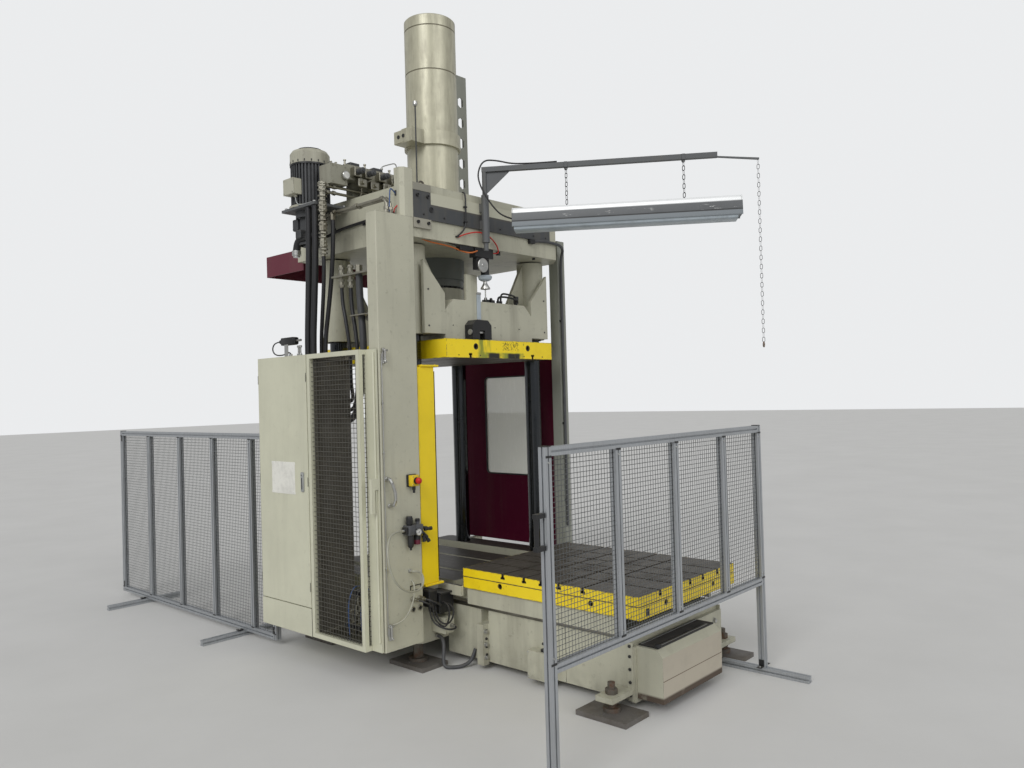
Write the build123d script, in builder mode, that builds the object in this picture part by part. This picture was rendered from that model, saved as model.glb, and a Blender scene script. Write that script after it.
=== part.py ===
"""Die spotting press: four columns, a hydraulic ram, a table that draws out to the front,
a swivelling work lamp, a control cabinet with a hydraulic cage, and two fence panels.

Millimetres. The origin lies on the floor on the press axis, +Z is up, and the table
draws out towards -Y."""

import math
import os

from build123d import *

os.makedirs("parts", exist_ok=True)

# Press axes and levels
column_x = 612
column_y = 408
column_d = 120
bed_top = 520
crosshead_low = 2750
crosshead_high = 3100

# Bed and table base
bed_half_x = 740
bed_front_y = -560
bed_rear_y = 700
bed_low = 150
bed_bevel = 25
channel_half_x = 550
deck_high = 372
centre_half_x = 416
centre_high = 500
groove_x = 182
groove_width = 26
groove_depth = 20
ear_t = 22
ear_reach = 212
ear_low = 455
rail_high = 398
rail_x = 455
rail_width = 60
base_half_x = 490
base_front_y = -1990
base_low = 50
end_plate_low = 40
rail_end_gap = 30
end_plate_t = 30
end_plate_drop = 30
notch_rear = -867
notch_front = -931
notch_low = 290
notch_depth = 60
base_seam_y = -1546
base_seam_width = 4
base_seam_depth = 3

# End box of the table drive
end_box_left = -470
end_box_right = 175
end_box_depth = 165
end_box_low = 62
end_box_high = 345
end_box_chamfer = 38
end_cover_t = 8
end_cover_gap = 20

# Feet
pad_x = 217
pad_y = 323
pad_t = 27
pad_hole_r = 9
bed_foot_x = 690
bed_foot_y = 480
foot_disc_r = 48
foot_disc_t = 22
jack_r = 20
jack_high = 180
jack_nut_r = 34
jack_nut_t = 30
lock_nut_t = 24
bed_disc_r = 62
anchor_reach = 70
front_foot_x = 622
front_foot_y = -1955
foot_bracket_low = 88
foot_bracket_t = 30
foot_bracket_y = 110
foot_bracket_reach = 72
side_post_reach = 50
side_post_front = -925
side_post_rear = -870
side_post_low = 35
side_post_high = 290

# Platens
platen_x = 1080
platen_y = 1330
platen_t = 125
table_centre_y = -1427
table_low = 505
ram_platen_low = 1986
slot_width = 18
slot_depth = 18
slot_foot_width = 32
slot_foot_depth = 13
ram_slots_x = (-320, 320)
table_slots_x = (-326, -148, 0, 148, 326)
table_slots_y = (-306, -132, 0, 132, 306)
table_slot_shift = 15
edge_groove_rise = 69
edge_groove_width = 5
edge_groove_depth = 3
lift_hole_r = 16
lift_hole_depth = 60
table_hole_rise = 47
ram_hole_rise = 78
front_hole_x = 268
side_hole_y = 345

# Table carriage
carriage_low = 402
carriage_front_gap = 160
carriage_rear_gap = 22
skirt_in = 500
skirt_out = 528
flange_in = 421
flange_low = 464
roller_r = 30
roller_width = 50
roller_cheek = 9
cheek_drop = 14
cheek_inset = 8
roller_pitch = 320
rollers_a_side = 4
running_gap = 0.3

# Ram
ram_half_x = 445
ram_half_y = 558
ram_high = 2390
sleeve_r = 100
sleeve_low = 2150
sleeve_high = 2740
sleeve_gap = 0.3
wing_low = 2150
wing_half_y = 90
outer_plate_t = 24
plate_out_x = 630
plate_in_x = 441
plate_in_high = 2423
plate_out_high = 2632
gusset_t = 24
gusset_in_x = 318
gusset_high = 2720
sensor_plate_left = -240
sensor_plate_right = -130
sensor_plate_high = 2570
sensor_plate_t = 18
boss_r = 205
boss_high = 2531
rod_r = 130
rod_high = 4300
rod_gap = 0.5
ram_corner_cut = 80
hook_left = -262
hook_right = -78
hook_low = 2118
hook_high = 2250
hook_reach = 78
hook_slot = 50
hook_bevel = 34
hook_slot_depth = 60

# Crosshead
crosshead_half_x = 786
crosshead_half_y = 640
crosshead_corner = 130
crosshead_bore_gap = 30
neck_r = 215
neck_low = 2598
gland_r = 205
gland_low = 2546
beam_low = 2870
beam_high = 3047
beam_t = 14
beam_left = -786
beam_right = 570
clamp_plate_x = 150
clamp_plate_t = 16
clamp_plate_rise = 46
clamp_plate_drop = 62

# Main cylinder
cylinder_r = 193
cylinder_high = 4565
cylinder_bore_r = 160
bore_head_room = 60
cap_drop = 85
weld_drop = 413
top_bevel = 8
seam_depth = 3
seam_width = 5
flange_r = 212
flange_t = 50
collar_low = 3590
collar_high = 3692
collar_r = 212
lug_x = 95
lug_y = 110
lug_overlap = 40
channel_gap = 8
channel_x = 130
channel_depth = 52
channel_wall = 6
channel_high = 4240
channel_hole_pitch = 160
channel_first_hole = 130
channel_hole_w = 56
channel_hole_h = 82
channel_hole_tip = 18

# Riser beside the crosshead
riser_left = -1092
riser_right = -786
riser_front = -652
riser_rear = -556
riser_low = 200
riser_high = 2868
riser_bevel = 5
post_width = 92
post_high = 3177
post_bevel = 24

# Light curtain
curtain_left = -756
curtain_right = -626
curtain_front = -652
curtain_rear = -592
curtain_low = 534
curtain_high = 1936
curtain_flange_t = 12
curtain_flange_y = 26

# Cabinet and cage
cabinet_left = -1167
cabinet_right = -822
cabinet_front = 2
cabinet_rear = 590
cabinet_low = 203
cabinet_high = 2030
sheet = 20
door_t = 20
door_gap = 6
door_edge_gap = 2
door_bevel = 4
plinth_high = 382
handle_from_edge = 48
handle_width = 30
handle_depth = 12
handle_bottom = 1135
handle_top = 1262
cage_rail = 30
cage_pan_t = 25
cage_top_drop = 5
cage_hole_left = -1077
cage_hole_right = -872
cage_hole_front = -496
cage_hole_rear = -20
mesh_columns = 4
mesh_rows = 12
mesh_wire = 8
mesh_t = 6
strip_front = -644
strip_t = 14
mesh_door_gap = 4
return_t = 20
strip_gap = 8
latch_case_t = 24
latch_rod_r = 7
latch_rod_low = 265
latch_rod_high = 2006
latch_case_low = 1180
latch_high = 1250
lever_low = 1040

# Right guard
guard_x = 838
guard_t = 30
guard_front = -456
guard_rear = 540
guard_low = 522
guard_high = 2080
window_low = 1069
window_high = 1890
window_front = -271
window_rear = 315
window_r = 40
window_t = 6
guard_post_w = 86
guard_post_high = 2930
guard_lug_y = 60
guard_lug_drop = 70
guard_stub_low = 2790
guard_stub_high = 2850

# Rear hood
hood_left = -740
hood_right = 740
hood_depth = 500
hood_low = 2700
hood_high = 2859
hood_wall = 4

# Lamp jib
jib_x = -168
jib_y = -692
jib_r = 17
socket_r = 26
socket_low = 2775
socket_high = 3087
jib_tip_low = 2719
arm_z = 3276
arm_size = 34
arm_length = 1577
arm_angle = -55.6
arm_gusset_low = 3098
arm_gusset_reach = 178
arm_gusset_t = 6
thrust_ring_t = 14
jib_lug_x = 20
jib_lug_z = 60
lamp_start = 190
lamp_length = 1515
lamp_high = 2990
housing_outline = ((-75, 2866), (-75, 2905), (-66, 2975), (-56, 2990), (56, 2990), (66, 2975), (75, 2905), (75, 2866))
pane_outline = ((-68, 2866), (-52, 2838), (52, 2838), (68, 2866))
pane_start_gap = 12
pane_end_gap = 30
chain_at_a = 560
chain_at_b = 1340
chain_r = 5
pull_start = 1540
pull_end = 1828
pull_eye = 16
pull_rod_high = 3270
pull_rod_t = 10
pull_eye_high = 3240
pull_eye_low = 3228
pull_chain_low = 2010
pull_chain_r = 4
lamp_cable_d = 11
arc_share = 0.45
lamp_cable_route = (
    (188, 0, 2930), (122, 20, 2946), (62, 40, 3008), (10, 50, 3092), (-30, 38, 3175), (-44, 14, 3258),
    (-6, 0, 3346), (90, 1, 3336), (186, 0, 3308), (290, 2, 3302), (395, -1, 3301), (500, 1, 3302),
)

# Hydraulic drive
motor_x = -925
motor_y = 255
motor_r = 133
fin_depth = 15
fins = 36
fin_fill = 0.45
plate_z = 3030
plate_t = 18
plate_left = -1066
plate_front = 12
plate_rear = 400
motor_high = 3350
cowl_profile = ((0, 3350), (135, 3350), (135, 3424), (120, 3446), (82, 3460), (0, 3464))
terminal_seat = 112
terminal_reach = 40
terminal_y = 60
terminal_low = 3130
terminal_high = 3236
pump_low = 2800
pump_r = 78
manifold_left = -846
manifold_right = -400
manifold_front = -60
manifold_rear = 70
manifold_low = 3220
manifold_high = 3321
manifold_leg_left = -760
manifold_leg_right = -480
manifold_leg_front = 10
valve_box_left = -979
valve_box_low = 3172
valve_box_high = 3307

# Pipes and fittings: the hexagonal stack beside the motor, then the bracket plate of three hoses
stack_x = -1022
stack_y = -18
stack_levels = (
    (2680, 2740, 17), (2740, 2790, 26), (2790, 2850, 20), (2850, 2905, 28),
    (2905, 2975, 20), (2975, 3040, 28), (3040, 3110, 21), (3110, 3175, 27),
)
pipe_d = 20
valve_pipe_routes = (
    ((-1000, -18, 3158), (-600, -18, 3158), (-600, -18, 3220)),
    ((-1000, -18, 3116), (-700, -18, 3116), (-700, -18, 3220)),
)
riser_pipe_routes = (
    ((-930, 177, 2975), (-930, -600, 2975), (-930, -600, 2868)),
    ((-962, 181, 2975), (-962, -600, 2975), (-962, -600, 2868)),
)
hose_plate_low = 2519
hose_plate_t = 12
hose_plate_left = -1040
hose_plate_right = -960
hose_plate_rear = -120
saddle_high = 2262
saddle_t = 8
saddle_left = -1052
saddle_right = -948
saddle_rear = -322
saddle_low = 2110
saddle_hole_x = -1000
saddle_hole_y = -377
saddle_hole_r = 28
port_block_right = -758
port_block_front = 230
port_block_rear = 420
port_block_low = 1520
port_block_high = 1740
fittings = (
    (-1000, -178, 2454, 2519, 15), (-1000, -178, 2531, 2600, 17), (-1000, -273, 2443, 2519, 15),
    (-1000, -273, 2531, 2592, 17), (-1000, -362, 2531, 2580, 24), (-962, -46, 2925, 2975, 17),
    (-930, -600, 2868, 2900, 15), (-962, -600, 2868, 2900, 15),
)

# Hoses: diameter and route of each
hose_routes = (
    (42, ((-1040, 117, 3030), (-1040, 117, 2890), (-1040, 126, 2640), (-1040, 145, 2360), (-1040, 160, 2140),
          (-1040, 160, 2030))),
    (42, ((-1040, 42, 3030), (-1040, 42, 2890), (-1040, 52, 2640), (-1040, 76, 2360), (-1040, 97, 2140),
          (-1040, 97, 2030))),
    (30, ((-962, -46, 2925), (-962, -46, 2800), (-961, -18, 2560), (-960, 34, 2310), (-960, 76, 2130),
          (-960, 76, 2030))),
    (26, ((-1022, -18, 2680), (-1022, -18, 2590), (-1010, 12, 2440), (-986, 66, 2290), (-962, 118, 2130),
          (-962, 118, 2030))),
    (24, ((-1000, -178, 2454), (-1000, -178, 2370), (-1000, -215, 2230), (-992, -237, 2060), (-978, -222, 1940),
          (-932, -160, 1832), (-858, -80, 1752), (-800, 10, 1716), (-792, 120, 1706), (-792, 230, 1706))),
    (26, ((-1000, -273, 2443), (-1000, -273, 2340), (-1000, -310, 2180), (-1000, -331, 2010), (-968, -284, 1845),
          (-905, -180, 1740), (-830, -62, 1682), (-795, 30, 1655), (-792, 130, 1645), (-792, 230, 1645))),
    (45, ((-1000, -362, 2519), (-1000, -362, 2400), (-1000, -378, 2250), (-1000, -388, 2110),
          (-998, -386, 1975), (-975, -335, 1837), (-925, -240, 1729), (-856, -120, 1663), (-790, 8, 1604),
          (-785, 120, 1570), (-785, 230, 1570))),
)

# Air unit and emergency stop on the riser, junction box on the table base
air_x = -893
air_z = 915
air_half_z = 30
air_left = 45
air_right = 70
air_depth = 60
bowl_r = 20
bowl_drop = 112
bowl_pitch = 48
knob_rise = 86
bowl_out = 32
stop_x = -866
stop_z = 1216
stop_half_x = 32
stop_half_z = 34
stop_depth = 52
junction_reach = 70
junction_front = -1474
junction_rear = -1307
junction_low = 48
junction_high = 215

# Fences of 40 mm aluminium profile
profile = 40
profile_slot = 8
profile_slot_depth = 10
fence_high = 1500
left_fence_x = -1040
left_fence_near = 604
left_fence_far = 3155
left_fence_low = 45
left_mullions = (916, 1480, 2028, 2587)
left_feet = (1063, 2692)
left_foot_from = -1378
left_foot_to = -702
right_fence_y = -2300
right_fence_left = -1556
right_fence_right = 494
right_fence_low = 540
right_mullions = (-1018, -492, 26)
right_foot_from = -2587
right_foot_to = -2030
foot_block_y = 30
fence_mesh_pitch = 200
fence_mesh_wire = 7
handle_low = 1075
handle_high = 1213
handle_reach = 48
handle_r = 11
handle_arm_y = 12
handle_arm_z = 10


def block(x_low, x_high, y_low, y_high, z_low, z_high, mode=Mode.ADD):
    """Add or cut a box between two corners in the part that is being built."""
    with Locations(((x_low + x_high) / 2, (y_low + y_high) / 2, (z_low + z_high) / 2)):
        Box(x_high - x_low, y_high - y_low, z_high - z_low, mode=mode)


def upright(x, y, z_low, z_high, radius, mode=Mode.ADD):
    """Add or cut an upright cylinder between two levels."""
    with Locations((x, y, (z_low + z_high) / 2)):
        Cylinder(radius, z_high - z_low, mode=mode)


def hexagon(x, y, z_low, z_high, radius):
    """Add an upright hexagonal nut or fitting between two levels."""
    with BuildSketch(Plane(origin=(x, y, z_low))) as outline:
        RegularPolygon(radius, 6)
    extrude(outline.sketch, amount=z_high - z_low)


def tube(name, diameter, points):
    """Add an eight-sided tube along straight runs joined by tangent arcs."""
    corners = [Vector(*p) for p in points]
    runs = [b - a for a, b in zip(corners, corners[1:])]
    radii = []
    for before, after in zip(runs, runs[1:]):
        half_turn = math.radians(before.get_angle(after)) / 2
        radii.append(arc_share * min(before.length, after.length) / math.tan(half_turn))
    with BuildLine() as route:
        FilletPolyline(*corners, radius=radii)
    with BuildSketch(Plane(origin=points[0], z_dir=runs[0])) as section:
        RegularPolygon(diameter / 2, 8)
    hose = sweep(section.sketch, path=route.line, mode=Mode.PRIVATE)
    route_length = sum(edge.length for edge in route.edges())
    share = hose.volume / (section.sketch.area * route_length)
    print(name, "diameter", diameter, "radii", [round(r) for r in radii], "volume share", round(share, 3))
    add(hose)


def keep(builder, name):
    """Name a finished piece and write it to its own file."""
    builder.part.label = name
    export_step(builder.part, f"parts/{name}.step")


def columns_xy():
    """The four column axes."""
    return [(sx * column_x, sy * column_y) for sx in (-1, 1) for sy in (-1, 1)]


# Bed: a casting with a raised, grooved centre between two channels for the carriage's rollers,
# and two ears that guide the table in
with BuildPart() as bed_casting:
    block(-bed_half_x, bed_half_x, bed_front_y, bed_rear_y, bed_low, bed_top)
    chamfer(bed_casting.edges().filter_by(Axis.Z), bed_bevel)
    block(-centre_half_x, centre_half_x, bed_front_y, bed_rear_y, centre_high, bed_top, Mode.SUBTRACT)
    for side in (-1, 1):
        near = side * centre_half_x
        far = side * channel_half_x
        block(min(near, far), max(near, far), bed_front_y, bed_rear_y, deck_high, bed_top, Mode.SUBTRACT)
        block(side * groove_x - groove_width / 2, side * groove_x + groove_width / 2, bed_front_y,
              bed_rear_y, centre_high - groove_depth, centre_high, Mode.SUBTRACT)
        ear = side * (channel_half_x + ear_t)
        block(min(far, ear), max(far, ear), bed_front_y - ear_reach, bed_front_y, ear_low, bed_top)
keep(bed_casting, "bed_casting")

# Table base: the long box that carries the table in front of the press
with BuildPart() as table_base:
    block(-base_half_x, base_half_x, base_front_y, bed_front_y, base_low, deck_high)
    block(-base_half_x, base_half_x, base_front_y - end_plate_t, base_front_y,
          end_plate_low, deck_high - end_plate_drop)
    for side in (-1, 1):
        face = side * base_half_x
        inner = side * (base_half_x - notch_depth)
        block(min(face, inner), max(face, inner), notch_front, notch_rear, notch_low, deck_high, Mode.SUBTRACT)
        inner = side * (base_half_x - base_seam_depth)
        block(min(face, inner), max(face, inner), base_seam_y, base_seam_y + base_seam_width,
              base_low, deck_high, Mode.SUBTRACT)
keep(table_base, "table_base")

# Two hardened rails on the deck and through the channel
with BuildPart() as table_rails:
    for side in (-1, 1):
        block(side * rail_x - rail_width / 2, side * rail_x + rail_width / 2,
              base_front_y + rail_end_gap, bed_rear_y - rail_end_gap, deck_high, rail_high)
keep(table_rails, "table_rails")

# Box of the table drive on the end plate, with a black cover on its top
end_face = base_front_y - end_plate_t
with BuildPart() as end_box:
    with BuildSketch(Plane.YZ.offset(end_box_left)):
        with BuildLine():
            Polyline(
                (end_face, end_box_low),
                (end_face, end_box_high),
                (end_face - end_box_depth + end_box_chamfer, end_box_high),
                (end_face - end_box_depth, end_box_high - end_box_chamfer),
                (end_face - end_box_depth, end_box_low),
                close=True,
            )
        make_face()
    extrude(amount=end_box_right - end_box_left)
keep(end_box, "end_box")

with BuildPart() as end_box_cover:
    block(end_box_left + end_cover_gap, end_box_right - end_cover_gap,
          end_face - end_box_depth + end_box_chamfer, end_face, end_box_high, end_box_high + end_cover_t)
keep(end_box_cover, "end_box_cover")

# Steel pads on the floor, each with one anchor hole on its outer side
foot_places = [(sx * bed_foot_x, sy * bed_foot_y) for sx in (-1, 1) for sy in (-1, 1)]
front_foot_places = [(sx * front_foot_x, front_foot_y) for sx in (-1, 1)]
with BuildPart() as floor_pads:
    for x, y in foot_places + front_foot_places:
        outward = math.copysign(1, x)
        hole_x = x + outward * anchor_reach
        block(x - pad_x / 2, x + pad_x / 2, y - pad_y / 2, y + pad_y / 2, 0, pad_t)
        upright(hole_x, y, 0, pad_t, pad_hole_r, Mode.SUBTRACT)
keep(floor_pads, "floor_pads")

# Brackets welded to the end of the table base, and a bolted post on each of its sides
with BuildPart() as foot_brackets:
    for side in (-1, 1):
        near = side * base_half_x
        far = side * (front_foot_x + foot_bracket_reach)
        block(min(near, far), max(near, far), front_foot_y - foot_bracket_y / 2,
              front_foot_y + foot_bracket_y / 2, foot_bracket_low, foot_bracket_low + foot_bracket_t)
        upright(side * front_foot_x, front_foot_y, foot_bracket_low,
                foot_bracket_low + foot_bracket_t, jack_r, Mode.SUBTRACT)
        far = side * (base_half_x + side_post_reach)
        block(min(near, far), max(near, far), side_post_front, side_post_rear, side_post_low, side_post_high)
keep(foot_brackets, "foot_brackets")

# Jacking screws with their round feet: two at the base's end, four under the bed
with BuildPart() as jacking_screws:
    for x, y in front_foot_places:
        upright(x, y, pad_t, pad_t + foot_disc_t, foot_disc_r)
        upright(x, y, pad_t + foot_disc_t, jack_high, jack_r)
        hexagon(x, y, foot_bracket_low + foot_bracket_t, foot_bracket_low + foot_bracket_t + jack_nut_t,
                jack_nut_r)
        hexagon(x, y, foot_bracket_low - lock_nut_t, foot_bracket_low, jack_nut_r)
    for x, y in foot_places:
        upright(x, y, pad_t, pad_t + foot_disc_t, bed_disc_r)
        hexagon(x, y, pad_t + foot_disc_t, bed_low, jack_nut_r)
keep(jacking_screws, "jacking_screws")

# Columns from the bed to the crosshead
with BuildPart() as guide_columns:
    for x, y in columns_xy():
        upright(x, y, bed_top, crosshead_low, column_d / 2)
keep(guide_columns, "guide_columns")

# Crosshead with its right corners cut and a bore for the piston rod
with BuildPart() as crosshead:
    with BuildSketch(Plane.XY.offset(crosshead_low)):
        Rectangle(2 * crosshead_half_x, 2 * crosshead_half_y)
    extrude(amount=crosshead_high - crosshead_low)
    chamfer(crosshead.edges().filter_by(Axis.Z).group_by(Axis.X)[-1], crosshead_corner)
    upright(0, 0, crosshead_low, crosshead_high, rod_r + crosshead_bore_gap, Mode.SUBTRACT)
keep(crosshead, "crosshead")

# Neck of the main cylinder below the crosshead, with its bolted gland ring
with BuildPart() as cylinder_neck:
    upright(0, 0, neck_low, crosshead_low, neck_r)
    upright(0, 0, gland_low, neck_low, gland_r)
    upright(0, 0, gland_low, crosshead_low, rod_r + rod_gap, Mode.SUBTRACT)
keep(cylinder_neck, "cylinder_neck")

# Grey beam across the crosshead's front, with its two clamp plates
front_face = -crosshead_half_y
with BuildPart() as front_beam:
    block(beam_left, beam_right, front_face - beam_t, front_face, beam_low, beam_high)
keep(front_beam, "front_beam")

with BuildPart() as beam_clamp_plates:
    for low, high in ((beam_high, beam_high + clamp_plate_rise), (beam_low - clamp_plate_drop, beam_low)):
        block(beam_left, beam_left + clamp_plate_x, front_face - clamp_plate_t, front_face, low, high)
keep(beam_clamp_plates, "beam_clamp_plates")

# Main cylinder: a turned barrel, bored for the rod and closed at the top
cap_seam = cylinder_high - cap_drop
weld_seam = cylinder_high - weld_drop
with BuildPart() as main_cylinder:
    with BuildSketch(Plane.XZ):
        with BuildLine():
            Polyline(
                (0, rod_high + bore_head_room),
                (cylinder_bore_r, rod_high + bore_head_room),
                (cylinder_bore_r, crosshead_high),
                (flange_r, crosshead_high),
                (flange_r, crosshead_high + flange_t),
                (cylinder_r, crosshead_high + flange_t),
                (cylinder_r, weld_seam),
                (cylinder_r - seam_depth, weld_seam),
                (cylinder_r - seam_depth, weld_seam + seam_width),
                (cylinder_r, weld_seam + seam_width),
                (cylinder_r, cap_seam),
                (cylinder_r - seam_depth, cap_seam),
                (cylinder_r - seam_depth, cap_seam + seam_width),
                (cylinder_r, cap_seam + seam_width),
                (cylinder_r, cylinder_high - top_bevel),
                (cylinder_r - top_bevel, cylinder_high),
                (0, cylinder_high),
                close=True,
            )
        make_face()
    revolve(axis=Axis.Z)
keep(main_cylinder, "main_cylinder")

# Clamp collar with the bored lug on its left
with BuildPart() as cylinder_collar:
    upright(0, 0, collar_low, collar_high, collar_r)
    block(-collar_r - lug_x, -collar_r + lug_overlap, -lug_y, 0, collar_low, collar_high)
    upright(0, 0, collar_low, collar_high, cylinder_r, Mode.SUBTRACT)
keep(cylinder_collar, "cylinder_collar")

# Perforated cable channel beside the cylinder
channel_left = collar_r + channel_gap
hole_rows = int((channel_high - crosshead_high - channel_first_hole) / channel_hole_pitch)
hole_x = channel_left + channel_x / 2
with BuildPart() as cable_channel:
    block(channel_left, channel_left + channel_x, -channel_depth / 2, channel_depth / 2,
          crosshead_high, channel_high)
    block(channel_left + channel_wall, channel_left + channel_x - channel_wall,
          -channel_depth / 2 + channel_wall, channel_depth / 2, crosshead_high, channel_high, Mode.SUBTRACT)
    for row in range(hole_rows):
        z = crosshead_high + channel_first_hole + row * channel_hole_pitch
        side_z = channel_hole_h / 2 - channel_hole_tip
        with BuildSketch(Plane(origin=(hole_x, -channel_depth / 2, z), x_dir=(1, 0, 0), z_dir=(0, -1, 0))):
            with BuildLine():
                Polyline(
                    (-channel_hole_w / 2, -side_z),
                    (0, -channel_hole_h / 2),
                    (channel_hole_w / 2, -side_z),
                    (channel_hole_w / 2, side_z),
                    (0, channel_hole_h / 2),
                    (-channel_hole_w / 2, side_z),
                    close=True,
                )
            make_face()
        extrude(amount=-channel_wall, mode=Mode.SUBTRACT)
keep(cable_channel, "cable_channel")

# Riser box at the crosshead's left end and the post above it
with BuildPart() as riser_column:
    block(riser_left, riser_right, riser_front, riser_rear, riser_low, riser_high)
    chamfer(riser_column.edges().filter_by(Axis.Z), riser_bevel)
keep(riser_column, "riser_column")

with BuildPart() as corner_post:
    block(riser_right - post_width, riser_right, riser_front, riser_rear, riser_high, post_high)
    chamfer(corner_post.edges().filter_by(Axis.Z).group_by(Axis.X)[0], post_bevel)
keep(corner_post, "corner_post")

# Housing of the light curtain, held by a flange at each end
with BuildPart() as light_curtain:
    block(curtain_left, curtain_right, curtain_front, curtain_rear, curtain_low, curtain_high)
    for z in (curtain_low, curtain_high - curtain_flange_t):
        block(riser_right, curtain_right, curtain_rear - curtain_flange_y, curtain_rear, z,
              z + curtain_flange_t)
keep(light_curtain, "light_curtain")

# Control cabinet: an open case, closed by its own door above a plinth
with BuildPart() as cabinet_case:
    block(cabinet_left + door_t, cabinet_right, cabinet_front, cabinet_rear, cabinet_low, cabinet_high)
    block(cabinet_left + door_t, cabinet_right - sheet, cabinet_front + sheet, cabinet_rear - sheet,
          plinth_high + sheet, cabinet_high - sheet, Mode.SUBTRACT)
    block(cabinet_left, cabinet_left + door_t, cabinet_front, cabinet_rear, cabinet_low, plinth_high)
keep(cabinet_case, "cabinet_case")

with BuildPart() as cabinet_door:
    block(cabinet_left, cabinet_left + door_t - running_gap, cabinet_front + door_gap,
          cabinet_rear - door_edge_gap, plinth_high + door_gap, cabinet_high - door_edge_gap)
    chamfer(cabinet_door.edges().filter_by(Axis.Z).group_by(Axis.X)[0], door_bevel)
keep(cabinet_door, "cabinet_door")

handle_y = cabinet_front + handle_from_edge
with BuildPart() as cabinet_handle:
    block(cabinet_left - handle_depth, cabinet_left, handle_y, handle_y + handle_width, handle_bottom, handle_top)
keep(cabinet_handle, "cabinet_handle")

# Cage of the hydraulics: floor pan and top frame between the cabinet and the riser
cage_front = riser_rear
cage_top_high = cabinet_high - cage_top_drop
cage_top_low = cage_top_high - cage_rail
with BuildPart() as cage_frame:
    for low, high in ((cabinet_low, cabinet_low + cage_pan_t), (cage_top_low, cage_top_high)):
        block(cabinet_left + cage_rail, cabinet_right, cage_front + cage_rail, cabinet_front, low, high)
        block(riser_left, cabinet_right, cage_front, cage_front + cage_rail, low, high)
    block(cage_hole_left, cage_hole_right, cage_hole_front, cage_hole_rear, cage_top_low, cage_top_high,
          Mode.SUBTRACT)
keep(cage_frame, "cage_frame")

# Mesh door: a frame on the left side and a short return, with a solid closing strip
mesh_low = cabinet_low + door_edge_gap
mesh_high = cabinet_high - door_edge_gap
mesh_front = cage_front + mesh_door_gap
return_rear = mesh_front + return_t
return_end = riser_left - strip_gap
frame_inner = cabinet_left + cage_rail - running_gap
mesh_y_low = mesh_front + cage_rail
mesh_y_high = cabinet_front - door_gap - cage_rail
mesh_z_low = mesh_low + cage_rail
mesh_z_high = mesh_high - cage_rail
with BuildPart() as mesh_door_frame:
    block(cabinet_left, frame_inner, mesh_front, cabinet_front - door_gap, mesh_low, mesh_high)
    block(cabinet_left, frame_inner, mesh_y_low, mesh_y_high, mesh_z_low, mesh_z_high, Mode.SUBTRACT)
    block(frame_inner, return_end, mesh_front, return_rear, mesh_low, mesh_z_low)
    block(frame_inner, return_end, mesh_front, return_rear, mesh_z_high, mesh_high)
    block(return_end - strip_t, return_end, strip_front, return_rear, mesh_low, mesh_high)
keep(mesh_door_frame, "mesh_door_frame")

mesh_cell_y = (mesh_y_high - mesh_y_low) / mesh_columns
mesh_cell_z = (mesh_z_high - mesh_z_low) / mesh_rows
with BuildPart() as mesh_door_mesh:
    with BuildSketch(Plane.YZ.offset(cabinet_left + (cage_rail - mesh_t) / 2)):
        with Locations(((mesh_y_low + mesh_y_high) / 2, (mesh_z_low + mesh_z_high) / 2)):
            Rectangle(mesh_y_high - mesh_y_low, mesh_z_high - mesh_z_low)
            with GridLocations(mesh_cell_y, mesh_cell_z, mesh_columns, mesh_rows):
                Rectangle(mesh_cell_y - mesh_wire, mesh_cell_z - mesh_wire, mode=Mode.SUBTRACT)
    extrude(amount=mesh_t)
keep(mesh_door_mesh, "mesh_door_mesh")

# Latch of the mesh door: a rod in two guides, a case and a lever on the strip's outer face
latch_x = return_end - strip_t
latch_y = strip_front + latch_case_t / 2
with BuildPart() as mesh_door_latch:
    upright(latch_x - latch_rod_r, latch_y, latch_rod_low, latch_rod_high, latch_rod_r)
    block(latch_x - latch_case_t, latch_x, strip_front, strip_front + latch_case_t, latch_case_low, latch_high)
    block(latch_x - 2 * latch_case_t, latch_x - latch_case_t, strip_front, strip_front + latch_case_t,
          lever_low, latch_high)
keep(mesh_door_latch, "mesh_door_latch")

# Right guard: a dark red panel with a rounded window, its pane and the guide post
with BuildPart() as side_guard:
    block(guard_x - guard_t / 2, guard_x + guard_t / 2, guard_front, guard_rear, guard_low, guard_high)
    with BuildSketch(Plane.YZ.offset(guard_x - guard_t / 2)):
        with Locations(((window_front + window_rear) / 2, (window_low + window_high) / 2)):
            RectangleRounded(window_rear - window_front, window_high - window_low, window_r)
    extrude(amount=guard_t, mode=Mode.SUBTRACT)
keep(side_guard, "side_guard")

with BuildPart() as guard_window:
    with BuildSketch(Plane.YZ.offset(guard_x - window_t / 2)):
        with Locations(((window_front + window_rear) / 2, (window_low + window_high) / 2)):
            RectangleRounded(window_rear - window_front, window_high - window_low, window_r)
    extrude(amount=window_t)
keep(guard_window, "guard_window")

with BuildPart() as guard_post:
    block(guard_x - guard_post_w / 2, guard_x + guard_post_w / 2, guard_front - guard_post_w, guard_front,
          guard_low, guard_post_high)
keep(guard_post, "guard_post")

# Brackets that carry the guard on the bed and on the crosshead
with BuildPart() as guard_brackets:
    for y in (guard_front + guard_lug_y, guard_rear - 2 * guard_lug_y):
        block(bed_half_x, guard_x + guard_t / 2, y, y + guard_lug_y, guard_low - guard_lug_drop, guard_low)
    block(crosshead_half_x, guard_x - guard_post_w / 2, guard_front - guard_lug_y, guard_front,
          guard_stub_low, guard_stub_high)
keep(guard_brackets, "guard_brackets")

# Dark red hood behind the crosshead, open underneath
hood_front = crosshead_half_y
with BuildPart() as rear_hood:
    block(hood_left, hood_right, hood_front, hood_front + hood_depth, hood_low, hood_high)
    block(hood_left + hood_wall, hood_right - hood_wall, hood_front, hood_front + hood_depth - hood_wall,
          hood_low, hood_high - hood_wall, Mode.SUBTRACT)
keep(rear_hood, "rear_hood")

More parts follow.
